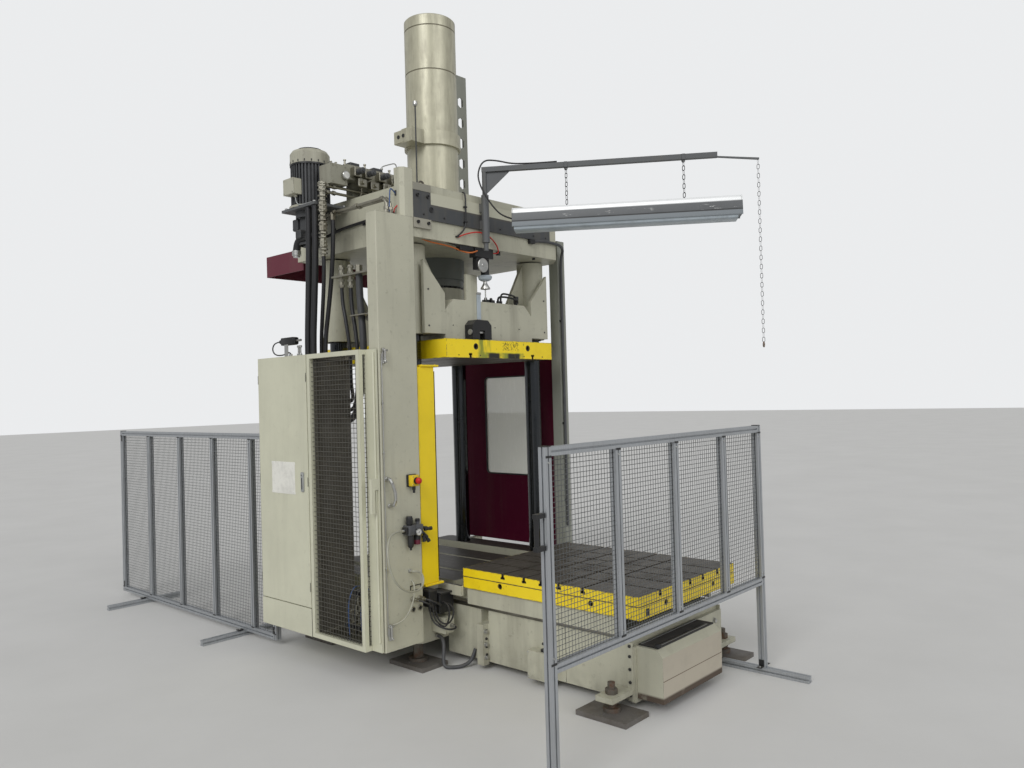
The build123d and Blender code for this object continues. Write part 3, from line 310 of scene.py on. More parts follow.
cream = (0.5, 0.49, 0.385)
cabinet_cream = (0.61, 0.605, 0.465)
machine_paint("cream_paint", cream, foot_dirt=0.35).done()
machine_paint("manifold_paint", (0.29, 0.284, 0.225), dirt=1.0, wear=1.0).done()
# The side guard's red is a darker copy of the hood's red: painted shade for the shaded inside of the
# press.
guard = machine_paint("guard_red_painted_shade", (0.07, 0.001, 0.016), 0.62, dirt=0.15, wear=0.3)
guard.done(Specular_IOR_Level=0.12)
machine_paint("beam_grey", (0.068, 0.072, 0.076), 0.45).done()
machine_paint("neck_paint", (0.13, 0.145, 0.132), dirt=0.7).done()
machine_paint("red_paint", (0.135, 0.012, 0.03), 0.36, dirt=0.25, wear=0.3).done()
machine_paint("duct_grey", (0.27, 0.28, 0.24), 0.45, dirt=0.35).done()
machine_paint("jib_grey", (0.095, 0.1, 0.104), 0.5, dirt=0.4).done()
machine_paint("curtain_yellow", (0.88, 0.65, 0.012), 0.34, dirt=0.1, wear=0.5).done()
machine_paint("cowl_olive", (0.43, 0.42, 0.335), dirt=0.9).done()
machine_paint("cage_khaki", (0.15, 0.14, 0.11), 0.5, dirt=0.8).done()
door = machine_paint("cabinet_paint", cabinet_cream, 0.3, dirt=0.16, wear=0.35)
door.done(Coat_Weight=0.25)

cabinet = machine_paint("cabinet_case", cabinet_cream, 0.3, dirt=0.16, wear=0.35)
front_wall = cabinet.between(cabinet.along("Y"), 0.03, 0.012)
# The side wall that faces the cage is painted dark as painted shade, mottled darker, with a less shaded
# strip along its corner flange.
cage_side_painted_shade = cabinet.both(cabinet.turned("Y", -0.7, -0.9), front_wall)
cabinet.coat(cage_side_painted_shade, (0.12, 0.11, 0.09), 0.5)
cabinet.coat(cabinet.both(cage_side_painted_shade, cabinet.cloud(9.0, 0.45, 0.75)), (0.08, 0.072, 0.058), 0.6)
cabinet.coat(cabinet.both(cage_side_painted_shade, cabinet.band("X", -1.146, -1.09)), (0.21, 0.198, 0.165), 0.5)
cabinet.done(Coat_Weight=0.25)

beam = machine_paint("front_beam", (0.06, 0.064, 0.068), 0.45)
beam_edge, beam_top, beam_left, beam_right = 2.971, 3.06, -0.636, 0.7
upper = beam.both(beam.band("Z", beam_edge, beam_top), beam.band("X", beam_left, beam_right))
beam.coat(upper, cream, 0.42)
# A painted shadow line just below the cream band's lower edge.
shadow_line = beam.band("Z", beam_edge - 0.011, beam_edge, 0.002)
beam.coat(beam.both(shadow_line, beam.band("X", beam_left, beam_right), 0.85), primer_and_shadow_tone, 0.7)
beam.done()

clamp = machine_paint("clamp_plates", cream, dirt=0.7)
clamp.coat(clamp.band("Z", 2.7, 2.96), (0.33, 0.315, 0.255), 0.5)
clamp.coat(clamp.band("Z", 2.96, 3.2), (0.26, 0.25, 0.205), 0.5)
clamp.done()

box = machine_paint("end_box_paint", cream, dirt=0.25, wear=0.9)
box_front = box.turned("Y", -0.7, -0.9)
box.coat(box_front, (0.45, 0.405, 0.325), 0.5)
box.coat(box.both(box_front, box.cloud(5.0, 0.5, 0.8)), (0.39, 0.35, 0.28), 0.5)
box.coat(box.both(box_front, box.band("Z", 0.18, 0.184)), (0.115, 0.08, 0.055), 0.8)
low_edge = box.both(box.between(box.along("Z"), 0.1, 0.088), box.cloud(9.0, 0.1, 0.4))
box.coat(low_edge, (0.085, 0.062, 0.045), 0.8)
box.done()
print("paints:", sorted(finishes))

# %% [markdown]
# ## Platens and bed
# The platens are plates of ground steel. Only their edges are painted, a
# thick signal yellow that chips at the corners, and the paint stops where
# the T slots cut in. The mask is a box a few millimetres inside the plate's
# outline, so the slots' own walls stay steel. Oil and grease have run down
# the ram platen's front below the hook. The bed's top is a worn, oily steel,
# and its sides are cream.

# %% Platen and bed finishes
slot_steel = (0.12, 0.105, 0.085)


def oil_marks(plate):
    """Oil below the hook, grease at the lower edge and flecks of it beside them."""
    face, height = plate.turned("Y", -0.7, -0.9), plate.along("Z")
    film, grease = (0.27, 0.29, 0.028), (0.016, 0.014, 0.009)
    streaks = plate.cloud(34.0, 0.36, 0.62, stretch=(1.0, 1.0, 0.18))
    plate.coat(plate.both(face, plate.band("X", -0.24, -0.124, 0.012), streaks), film, 0.45)
    low = plate.both(face, plate.band("X", -0.248, 0.222, 0.012), plate.between(height, 2.031, 2.021))
    plate.coat(plate.both(low, plate.cloud(20.0, 0.3, 0.6)), film, 0.45)
    for start, end in ((-0.146, -0.032), (0.052, 0.178)):
        lump = plate.both(face, plate.band("X", start, end, 0.01), plate.between(height, 2.027, 2.017))
        plate.coat(plate.both(lump, plate.cloud(26.0, 0.24, 0.4)), grease, 0.35)
    flecks = plate.both(face, plate.band("X", 0.0, 0.168, 0.012), plate.band("Z", 2.044, 2.104, 0.008))
    plate.coat(plate.both(flecks, plate.cloud(130.0, 0.52, 0.58)), (0.05, 0.042, 0.013), 0.5)


def platen_finish(name, half_x, front, rear, oily=False):
    """Ground steel with yellow edges, for a plate between front and rear."""
    plate = Finish(name, (0.93, 0.7, 0.012), 0.34)
    plate.coat(plate.cloud(5.0, 0.5, 0.8), (0.8, 0.57, 0.01), 0.5)
    plate.coat(plate.both(plate.cloud(38.0, 0.65, 0.72), 0.6), (0.13, 0.1, 0.03), 0.6)
    if oily:
        oil_marks(plate)
    chipped = plate.both(plate.bare_edge(0.012), plate.cloud(30.0, 0.4, 0.55))
    plate.coat(chipped, slot_steel, 0.5, 0.6)
    inset = 0.0015
    inside = plate.both(
        plate.band("X", -half_x + inset, half_x - inset, 0.0005),
        plate.band("Y", front + inset, rear - inset, 0.0005),
    )
    plate.coat(inside, slot_steel, 0.48, 0.75)
    scored = plate.cloud(30.0, 0.45, 0.75, stretch=(0.15, 6.0, 1.0))
    plate.coat(plate.both(inside, scored), (0.215, 0.195, 0.165), 0.34)
    plate.coat(plate.both(inside, plate.cloud(6.0, 0.5, 0.75)), (0.06, 0.05, 0.038), 0.62)
    plate.soften(0.002)
    plate.bump(plate.cloud(90.0, detail=4.0), 0.001, 0.2)
    plate.done()


platen_half_x, ram_platen_half_y = 0.54, 0.665
platen_finish("table_platen", platen_half_x, -2.092, -0.762)
platen_finish("ram_platen", platen_half_x, -ram_platen_half_y, ram_platen_half_y, oily=True)
bed = machine_paint("bed_paint", cream, dirt=0.6, wear=0.8, foot_dirt=0.4)
top_face = bed.turned("Z", 0.7, 0.9)
bed.coat(top_face, (0.06, 0.054, 0.046), 0.5, 0.2)
oil = bed.cloud(7.0, 0.42, 0.7, stretch=(2.5, 0.5, 1.0))
bed.coat(bed.both(top_face, oil), (0.045, 0.039, 0.031), 0.4)
worn = bed.cloud(30.0, 0.62, 0.72, stretch=(3.0, 0.4, 1.0))
bed.coat(bed.both(top_face, worn), (0.21, 0.195, 0.165), 0.35)
bed.done()
print("plates:", [name for name in finishes if "plat" in name or "bed" in name])

# %% [markdown]
# ## Bare metals
# Chrome columns, turned steel, bright profile and rusty feet differ in how
# rough they are and in which way their marks run. A stretched noise gives
# the marks: thin across the tool's path and long beside it. The columns'
# chrome is coloured nearly black, a painted reflection of the dark hall.

# %% Bare metals


def bare_metal(name, colour, roughness, marks=(1.0, 1.0, 40.0), stain=0.5, metallic=1.0):
    """A metal with tool marks that run one way, and stains."""
    metal = Finish(name, colour, roughness, metallic)
    scale = 6.0
    tooled = metal.both(metal.cloud(scale, 0.4, 0.75, stretch=marks), 0.7)
    metal.coat(tooled, tuple(0.72 * c for c in colour), roughness + 0.12)
    stained = metal.both(metal.cloud(5.0, 0.48, 0.78), stain)
    metal.coat(stained, (0.095, 0.075, 0.05), roughness + 0.28)
    metal.soften(0.003)
    metal.bump(metal.cloud(scale * 4.0, stretch=marks, detail=2.0), 0.0004, 0.25)
    return metal


rust, chain_rust, groove = (0.105, 0.048, 0.022), (0.19, 0.085, 0.045), (0.17, 0.15, 0.1)
# Nearly black chrome, a painted reflection of a dark hall; the clear coat gives the highlights.
column = bare_metal("column_chrome", (0.018, 0.022, 0.027), 0.22, stain=0.06)
column.done(Coat_Weight=1.0, Coat_Roughness=0.12, Coat_IOR=1.5)
bare_metal("rod_chrome", (0.56, 0.57, 0.58), 0.14, stain=0.2).done()
bare_metal("rail_steel", (0.3, 0.285, 0.25), 0.36, (30.0, 0.6, 1.0), 0.6).done()
bare_metal("valve_steel", (0.36, 0.345, 0.285), 0.34, (1.0, 1.0, 3.0), 0.7).done()
bare_metal("bright_steel", (0.56, 0.56, 0.54), 0.28, (1.0, 1.0, 6.0), 0.45).done()
bare_metal("profile_aluminium", (0.48, 0.5, 0.52), 0.4, (24.0, 24.0, 1.0), 0.12, 0.75).done()
cylinder = bare_metal("cylinder_steel", (0.52, 0.5, 0.375), 0.34, (6.0, 6.0, 0.6), 0.3, 0.3)
# Darker vertical streaks down the cylinder.
dark_vertical_streaks = cylinder.both(cylinder.cloud(9.0, 0.52, 0.72, stretch=(2.0, 2.0, 0.35)), 0.7)
cylinder.coat(dark_vertical_streaks, (0.3, 0.28, 0.205), 0.5)
for seam in (4.476, 4.148):
    cylinder.coat(cylinder.band("Z", seam, seam + 0.008, 0.002), groove, 0.5)
cylinder.done(Coat_Weight=0.2, Coat_Roughness=0.2)
rusty = bare_metal("rusty_steel", (0.155, 0.14, 0.12), 0.55, stain=0.6, metallic=0.6)
rusty.coat(rusty.cloud(16.0, 0.46, 0.66), rust, 0.85, 0.0)
rusty.done()
chain = bare_metal("chain_steel", (0.26, 0.215, 0.18), 0.5, stain=0.6, metallic=0.7)
chain.coat(chain.cloud(60.0, 0.44, 0.62), chain_rust, 0.8, 0.0)
chain.done()
bare_metal("raw_steel", (0.17, 0.158, 0.145), 0.62, (3.0, 3.0, 3.0), 0.8, 0.3).done()
print("metals:", [name for name in finishes if "steel" in name or "chrome" in name])

# %% [markdown]
# ## Wire, rubber, plastic and window
# Small parts are seen as one tone, so they get few layers: dust on what
# faces up, a slightly polished high spot, and a fine grain. The guard's
# window is a sheet gone milky with wiping scratches, so it is only a little
# transparent and its scratches are a second, rougher layer. Its near white
# colour is partly painted light, lighter than the pane where the press shades it.

# %% Wire, rubber, plastic and window


def moulded(name, colour, roughness, dust=0.4, grain=420.0):
    """Rubber or plastic with dust on its upper faces."""
    part = Finish(name, colour, roughness)
    part.coat(part.cloud(14.0, 0.42, 0.72), tuple(0.78 * c for c in colour), roughness + 0.12)
    dusty = part.both(part.turned("Z", 0.2, 0.9), part.cloud(24.0, 0.3, 0.66), dust)
    part.coat(dusty, (0.17, 0.155, 0.13), 0.85)
    polished = tuple(min(1.0, 1.5 * c + 0.03) for c in colour)
    part.coat(part.both(part.bare_edge(0.003), 0.5), polished, roughness - 0.1)
    part.soften(0.0015)
    part.bump(part.cloud(grain, detail=2.0), 0.0003, 0.2)
    part.done()


moulded("fence_wire", (0.105, 0.11, 0.112), 0.45, 0.1)
moulded("cage_wire", (0.085, 0.082, 0.068), 0.5, 0.5)
moulded("black_rubber", (0.018, 0.018, 0.019), 0.46)
moulded("black_hose", (0.016, 0.016, 0.018), 0.38, 0.3)
moulded("grey_hose", (0.06, 0.062, 0.066), 0.5, 0.3)
moulded("black_plastic", (0.014, 0.014, 0.015), 0.36, 0.25)
moulded("dark_plastic", (0.085, 0.088, 0.094), 0.4, 0.25)
moulded("grey_plastic", (0.33, 0.34, 0.335), 0.42, 0.3)
moulded("box_yellow", (0.76, 0.54, 0.012), 0.36, 0.2)
moulded("button_red", (0.56, 0.018, 0.012), 0.28, 0.05)
moulded("blue_cable", (0.04, 0.09, 0.24), 0.42, 0.1)
moulded("orange_cable", (0.56, 0.15, 0.03), 0.42, 0.1)
moulded("white_plastic", (0.7, 0.7, 0.67), 0.36, 0.1)
moulded("paper", (0.76, 0.75, 0.69), 0.75, 0.0, grain=900.0)
moulded("motor_casting", (0.05, 0.052, 0.055), 0.5, 0.6, grain=120.0)
moulded("clear_tube", (0.38, 0.375, 0.3), 0.3, 0.1)
# Near white, partly painted light that brightens the pane where the press shades it.
window = Finish("guard_window", (0.88, 0.885, 0.8), 0.2)
scratches = window.cloud(40.0, 0.55, 0.8, stretch=(1.0, 3.0, 0.3))
window.coat(scratches, (0.93, 0.93, 0.86), 0.55)
window.done(Alpha=0.62, IOR=1.5)
print("finishes:", len(finishes))

# %% [markdown]
# ## The lamp's sheet steel
# The lamp's housing is folded grey sheet. Its top is painted near white, a
# painted highlight for the light that it catches, on sheet worn to bare metal,
# and its long sides carry scratches where ladders and slings have touched
# them. The diffuser below is a pale milky strip with a faint painted glow.

# %% Lamp finishes
sheet = Finish("lamp_sheet", (0.08, 0.084, 0.088), 0.42, 0.2)
sheet.coat(sheet.cloud(3.0, 0.4, 0.7), (0.11, 0.115, 0.12), 0.5)
scratched = sheet.both(
    sheet.cloud(26.0, 0.58, 0.62, stretch=(0.4, 0.4, 2.5)),
    sheet.cloud(5.0, 0.5, 0.6),
    sheet.band("Z", 2.902, 2.936, 0.006),
)
sheet.coat(scratched, (0.62, 0.62, 0.6), 0.4, 0.4)
# The top band is painted near white: a painted highlight where the top catches the light, over worn
# metal.
sheet.coat(sheet.band("Z", 2.955, 3.0, 0.004), (0.84, 0.85, 0.85), 0.4)
sheet.coat(sheet.band("Z", 2.85, 2.892, 0.002), (0.2, 0.222, 0.238), 0.45)
sheet.coat(sheet.band("Z", 2.896, 2.9), (0.02, 0.02, 0.02), 0.7)
sheet.soften(0.002)
sheet.done()
opal = Finish("opal", (0.38, 0.43, 0.465), 0.35)
opal.coat(opal.cloud(12.0, 0.45, 0.75), (0.29, 0.325, 0.35), 0.45)
# A faint painted glow, on the lamp's diffuser, the sensor's bowl and the gauge strip alike.
opal.done(Emission_Color=(0.7, 0.8, 0.9), Emission_Strength=0.03)
print("lamp:", [name for name in ("lamp_sheet", "opal") if name in finishes])

# %% [markdown]
# ## Finishes onto the solids
# A solid keeps its mesh and only gets a material. One table says which
# finish each solid wears, and the loop stops if a solid was forgotten.

# %% Dress the solids
wears = {
    "cream_paint": "table_base foot_brackets crosshead riser_column corner_post ram_body"
                   " guide_sleeves table_carriage terminal_box guard_brackets",
    "end_box_paint": "end_box",
    "front_beam": "front_beam",
    "clamp_plates": "beam_clamp_plates",
    "cabinet_case": "cabinet_case",
    "cabinet_paint": "cabinet_door mesh_door_frame mesh_door_latch",
    "cage_khaki": "cage_frame",
    "bed_paint": "bed_casting",
    "rail_steel": "table_rails carriage_rollers",
    "black_rubber": "end_box_cover",
    "rusty_steel": "jacking_screws",
    "raw_steel": "floor_pads",
    "column_chrome": "guide_columns",
    "neck_paint": "cylinder_neck",
    "beam_grey": "cabinet_handle",
    "cylinder_steel": "main_cylinder cylinder_collar",
    "profile_aluminium": "left_fence right_fence fence_feet",
    "curtain_yellow": "light_curtain",
    "cage_wire": "mesh_door_mesh",
    "red_paint": "rear_hood",
    "guard_red_painted_shade": "side_guard",
    "guard_window": "guard_window",
    "duct_grey": "guard_post cable_channel",
    "rod_chrome": "piston_rod",
    "ram_platen": "upper_platen",
    "table_platen": "lower_platen",
    "jib_grey": "jib_socket jib_arm pump_plate",
    "lamp_sheet": "lamp_fitting",
    "chain_steel": "lamp_chains",
    "motor_casting": "motor_body pump_body",
    "cowl_olive": "motor_cowl",
    "manifold_paint": "valve_manifold",
    "valve_steel": "pipework",
    "box_yellow": "emergency_stop",
    "grey_plastic": "air_unit",
    "black_plastic": "platen_hook fence_handle",
    "fence_wire": "left_fence_mesh right_fence_mesh",
    "black_hose": "drive_hoses lamp_cable",
}
dressed = set()
for finish, names in wears.items():
    for name in names.split():
        solid = nodes[name]
        solid.data.materials.clear()
        solid.data.materials.append(finishes[finish])
        dressed.add(name)
assert dressed == set(nodes), set(nodes) - dressed
print("dressed:", len(dressed))

# %% [markdown]
# ## Hoses and the lamp's cable
# Seven hoses hang from the pump and the valves, and one thin cable loops from
# the jib post to the lamp. A hose is a fixed length of something springy, so
# it bends evenly and never kinks. A NURBS curve does the same: its points
# pull the line without being on it. The order and the end points are set
# after the points are in, because the curve ignores them before that.

# %% A hose on a smooth curve


def smooth_curve(name, points, diameter, steps, sides):
    """A round section along the spline through control points, all in metres."""
    curve = bpy.data.curves.new(name, "CURVE")
    curve.dimensions = "3D"
    curve.bevel_depth = diameter / 2
    curve.bevel_resolution = max(0, sides // 2 - 1)
    curve.resolution_u = steps
    curve.use_fill_caps = True
    spline = curve.splines.new("NURBS")
    spline.points.add(len(points) - 1)
    for point, place in zip(spline.points, points):
        point.co = (*place, 1.0)
    spline.order_u = 3
    spline.use_endpoint_u = True
    return curve


def free_cord(
    name, points, diameter, finish, length=None, body="frame",
):
    """A cord that is free between its two ends, both of them on the press."""
    curve = smooth_curve(name, points, diameter, 10, 10)
    curve.splines[0].use_smooth = True
    curve.materials.append(finishes[finish])
    made = bpy.data.objects.new(name, curve)
    bpy.context.scene.collection.objects.link(made)
    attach(made, body)
    length = length or round(curve.splines[0].calc_length(), 3)
    print(name, length, "m")
    return made


hoses = {
    "hose_pump_rear": (0.042, 1.001, [
        (-1.04, 0.117, 3.03), (-1.04, 0.117, 2.89), (-1.04, 0.126, 2.64), (-1.04, 0.145, 2.36),
        (-1.04, 0.16, 2.14), (-1.04, 0.16, 2.03)
    ]),
    "hose_pump_front": (0.042, 1.002, [
        (-1.04, 0.042, 3.03), (-1.04, 0.042, 2.89), (-1.04, 0.052, 2.64), (-1.04, 0.076, 2.36),
        (-1.04, 0.097, 2.14), (-1.04, 0.097, 2.03)
    ]),
    "hose_valve": (0.03, 0.906, [
        (-0.962, -0.046, 2.925), (-0.962, -0.046, 2.8), (-0.961, -0.018, 2.56), (-0.96, 0.034, 2.31),
        (-0.96, 0.076, 2.13), (-0.96, 0.076, 2.03)
    ]),
    "hose_stack": (0.026, 0.673, [
        (-1.022, -0.018, 2.68), (-1.022, -0.018, 2.59), (-1.01, 0.012, 2.44), (-0.986, 0.066, 2.29),
        (-0.962, 0.118, 2.13), (-0.962, 0.118, 2.03)
    ]),
    "hose_long_a": (0.024, 1.115, [
        (-1.0, -0.178, 2.454), (-1.0, -0.178, 2.37), (-1.0, -0.215, 2.23), (-0.992, -0.237, 2.06),
        (-0.978, -0.222, 1.94), (-0.932, -0.16, 1.832), (-0.858, -0.08, 1.752), (-0.8, 0.01, 1.716),
        (-0.792, 0.12, 1.706), (-0.792, 0.23, 1.706)
    ]),
    "hose_long_b": (0.026, 1.218, [
        (-1.0, -0.273, 2.443), (-1.0, -0.273, 2.34), (-1.0, -0.31, 2.18), (-1.0, -0.331, 2.01),
        (-0.968, -0.284, 1.845), (-0.905, -0.18, 1.74), (-0.83, -0.062, 1.682), (-0.795, 0.03, 1.655),
        (-0.792, 0.13, 1.645), (-0.792, 0.23, 1.645)
    ]),
    "hose_long_c": (0.045, 1.375, [
        (-1.0, -0.362, 2.519), (-1.0, -0.362, 2.4), (-1.0, -0.378, 2.25), (-1.0, -0.388, 2.11),
        (-0.998, -0.386, 1.975), (-0.975, -0.335, 1.837), (-0.925, -0.24, 1.729),
        (-0.856, -0.12, 1.663), (-0.79, 0.008, 1.604), (-0.785, 0.12, 1.57), (-0.785, 0.23, 1.57)
    ]),
}
for name, (diameter, length, points) in hoses.items():
    finish = "grey_hose" if name == "hose_long_c" else "black_hose"
    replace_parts(free_cord(name, points, diameter, finish, length=length), "drive_hoses")

# %% The lamp's cable
arm_angle = math.radians(-55.6)
jib_foot = Vector((-0.168, -0.692, 0.0))
arm_way = Vector((math.cos(arm_angle), math.sin(arm_angle), 0.0))
arm_side = Vector((math.sin(arm_angle), -math.cos(arm_angle), 0.0))


def on_arm(along, aside, height):
    """A point by its distance along the jib's arm, beside it, and its height."""
    return tuple(jib_foot + along * arm_way + aside * arm_side + Vector((0.0, 0.0, height)))


cable_route = [
    (0.188, 0.0, 2.93), (0.122, 0.02, 2.946), (0.062, 0.04, 3.008), (0.01, 0.05, 3.092),
    (-0.03, 0.038, 3.175), (-0.044, 0.014, 3.258), (-0.006, 0.0, 3.346), (0.09, 0.001, 3.336),
    (0.186, 0.0, 3.308), (0.29, 0.002, 3.302), (0.395, -0.001, 3.301), (0.5, 0.001, 3.302),
]
route = [on_arm(*place) for place in cable_route]
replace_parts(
    free_cord("lamp_cable_run", route, 0.011, "black_rubber", length=1.028, body="lamp_jib"),
    "lamp_cable"
)

# %% [markdown]
# ## Tools for new pieces
# Most small pieces are plates, rods and turned parts, so a few helpers make
# them from bmesh operators: a chamfered block, a rod between two points, a
# part turned on a lathe, a ring, a plug, a bolt and a sunk screw. They all
# work inside one bmesh, so a row of bolts becomes a single piece. The object
# stays at the origin, and the place is in the mesh, as it is in the solids.

# %% Tools: block, rod, lathe, ring, plug, bolt, screw
up, down_way, front = (0, 0, 1), (0, 0, -1), (0, -1, 0)
rear, left, right_way = (0, 1, 0), (-1, 0, 0), (1, 0, 0)


def block(bm, low, high, chamfer, segments=1, turn=None):
    """A box between two corners; turn moves it to its place before the chamfer."""
    low, high = Vector(low), Vector(high)
    verts = bmesh.ops.create_cube(bm, size=1.0)["verts"]
    bmesh.ops.scale(bm, vec=high - low, verts=verts)
    bmesh.ops.translate(bm, vec=(high + low) / 2, verts=verts)
    if turn is not None:
        bmesh.ops.transform(bm, matrix=turn, verts=verts)
    edges = list({edge for vert in verts for edge in vert.link_edges})
    bevel(bm, edges, chamfer, segments)


def bevel(bm, edges, width, segments=1):
    """Takes edges off by a width in metres."""
    bmesh.ops.bevel(
        bm, geom=edges, offset=width, segments=segments, profile=0.5, affect="EDGES", material=-1
    )


def rod(bm, start, end, radius, sides, end_radius=None):
    """A rod or cone from one point to another."""
    start, end = Vector(start), Vector(end)
    way = end - start
    place = Matrix.Translation((start + end) / 2) @ way.to_track_quat("Z", "Y").to_matrix().to_4x4()
    tip = radius if end_radius is None else end_radius
    return bmesh.ops.create_cone(
        bm, cap_ends=True, segments=sides, radius1=radius, radius2=tip, depth=way.length, matrix=place
    )["verts"]


def aimed(place, way):
    """The matrix that stands a part, made upright at the origin, on a place along a direction."""
    return Matrix.Translation(place) @ Vector(way).to_track_quat("Z", "Y").to_matrix().to_4x4()


def lathe(bm, profile, place, way=up, steps=24):
    """A profile of (radius, height) turned round the axis through place along way."""
    part = bmesh.new()
    verts = [part.verts.new((radius, 0.0, height)) for radius, height in profile]
    edges = [part.edges.new(pair) for pair in zip(verts, verts[1:])]
    spin_round(part, verts + edges, up, steps)
    join(bm, part, aimed(place, way))


def spin_round(bm, geom, axis, steps):
    """Turns an outline once round an axis through the origin, and closes the seam."""
    bmesh.ops.spin(
        bm, geom=geom, cent=(0, 0, 0), axis=axis, dvec=(0, 0, 0), angle=2 * math.pi, steps=steps,
        use_merge=True, use_duplicate=False
    )
    bmesh.ops.remove_doubles(bm, verts=bm.verts[:], dist=1e-6)
    bmesh.ops.recalc_face_normals(bm, faces=bm.faces[:])


def ring(bm, inner, outer, low, high, place, way=up, steps=24):
    """A flat ring with a rectangular section."""
    section = [(inner, low), (outer, low), (outer, high), (inner, high), (inner, low)]
    lathe(bm, section, place, way, steps)


def plug(bm, radius, low, high, place, way=up, steps=24):
    """A round plug with closed ends."""
    lathe(bm, [(0.0, low), (radius, low), (radius, high), (0.0, high)], place, way, steps)


def around(count, first=0.0):
    """The angles of a number of like things on a circle."""
    return [2 * math.pi * (i + first) / count for i in range(count)]


def join(bm, part, matrix):
    """Adds a finished part to a bmesh, moved by a matrix, and frees it."""
    bmesh.ops.transform(part, matrix=matrix, verts=part.verts[:])
    held = bpy.data.meshes.new("held")
    part.to_mesh(held)
    part.free()
    bm.from_mesh(held)
    bpy.data.meshes.remove(held)


def bolt(bm, place, way, across, head, washer=0.003):
    """A hexagon head on its washer, on the surface at place."""
    place, way = Vector(place), Vector(way).normalized()
    radius = across / 2 / math.cos(math.pi / 6)
    if washer:
        rod(bm, place, place + washer * way, 1.35 * radius, 14)
    seat = place + washer * way
    rod(bm, seat, seat + 0.8 * head * way, radius, 6)
    rod(bm, seat + 0.8 * head * way, seat + head * way, radius, 6, 0.84 * radius)


def cap_screw(bm, place, way, radius, head):
    """A round socket-head screw with its sunk hexagon."""
    place, way = Vector(place), Vector(way).normalized()
    verts = rod(bm, place, place + head * way, radius, 12)
    top = max(
        {face for vert in verts for face in vert.link_faces},
        key=lambda face: face.calc_center_median().dot(way)
    )
    bmesh.ops.inset_individual(bm, faces=[top], thickness=0.42 * radius)
    bmesh.ops.translate(bm, vec=-0.6 * head * way, verts=top.verts[:])


pieces = {}


def piece(name, bm, finish, body="frame", stands_for=(), smooth=32.0):
    """Makes the bmesh an object with its finish and its body."""
    mesh = bpy.data.meshes.new(name)
    bm.to_mesh(mesh)
    bm.free()
    mesh.polygons.foreach_set("use_smooth", [True] * len(mesh.polygons))
    mesh.set_sharp_from_angle(angle=math.radians(smooth))
    mesh.materials.append(finishes[finish])
    made = bpy.data.objects.new(name, mesh)
    bpy.context.scene.collection.objects.link(made)
    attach(made, body)
    if stands_for:
        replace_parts(made, *stands_for)
    pieces[name] = made
    return made


print("tools: block, rod, lathe, ring, plug, bolt, cap_screw, piece")

# %% [markdown]
# ## Wire mesh
# The fences carry a square mesh of thin wire, and the cage a wider one. In
# the solids it is a coarse grid. Here each wire is a bar with four sides,
# which looks round at this size and costs six faces. Uprights and cross
# wires lie a wire apart, as in a welded mesh.

# %% Mesh panels of both fences and the cage door


def wire_panel(bm, axis, at, low, high, pitch, wire):
    """A mesh in the plane where axis ('X' or 'Y') is at, between two corners (across, z)."""
    def point(across, z, shift):
        return (at + shift, across, z) if axis == "X" else (across, at + shift, z)

    half, girth = wire / 2, wire / 2 * 1.15
    columns = round((high[0] - low[0]) / pitch)
    rows = round((high[1] - low[1]) / pitch)
    for i in range(columns + 1):
        across = low[0] + (high[0] - low[0]) * i / columns
        rod(bm, point(across, low[1], half), point(across, high[1], half), girth, 4)
    for i in range(rows + 1):
        z = low[1] + (high[1] - low[1]) * i / rows
        rod(bm, point(low[0], z, -half), point(high[0], z, -half), girth, 4)
    return columns, rows


fence_pitch, fence_wire = 0.023, 0.0026
left_wires = bmesh.new()
print(
    "left fence:",
    wire_panel(left_wires, "X", -1.04, (0.64, 0.081), (3.119, 1.464), fence_pitch, fence_wire)
)
piece("left_fence_wires", left_wires, "fence_wire", stands_for=("left_fence_mesh",))
right_wires = bmesh.new()
print(
    "right fence:",
    wire_panel(right_wires, "Y", -2.3, (-1.52, 0.576), (0.458, 1.464), fence_pitch, fence_wire)
)
piece("right_fence_wires", right_wires, "fence_wire", stands_for=("right_fence_mesh",))
cage_wires = bmesh.new()
cage_pitch, cage_wire = 0.03, 0.0032
print(
    "cage side:",
    wire_panel(cage_wires, "X", -1.152, (-0.526, 0.231), (-0.03, 2.002), cage_pitch, cage_wire)
)
print(
    "cage return:",
    wire_panel(cage_wires, "Y", -0.542, (-1.141, 0.231), (-1.113, 2.002), cage_pitch, cage_wire)
)
piece("cage_wires", cage_wires, "cage_wire", "mesh_door", ("mesh_door_mesh",))

# %% [markdown]
# ## Fence fittings
# The posts are slotted profile. Each post ends in a thin black cap, and
# black plates bolt the rails and the mullions together. On the real fence
# these are die-cast corner pieces with one screw each.

# %% Caps, plates and angle brackets of the fences
fence_black = bmesh.new()
fence_screws = bmesh.new()
half_post, fence_top, foot_top = 0.02, 1.5, 0.045
left_x, left_ends = -1.04, (0.624, 3.135)
right_y, right_ends = -2.3, (-1.536, 0.474)


def spanned(start, end):
    """Two numbers in rising order, for a block that grows either way."""
    return min(start, end), max(start, end)


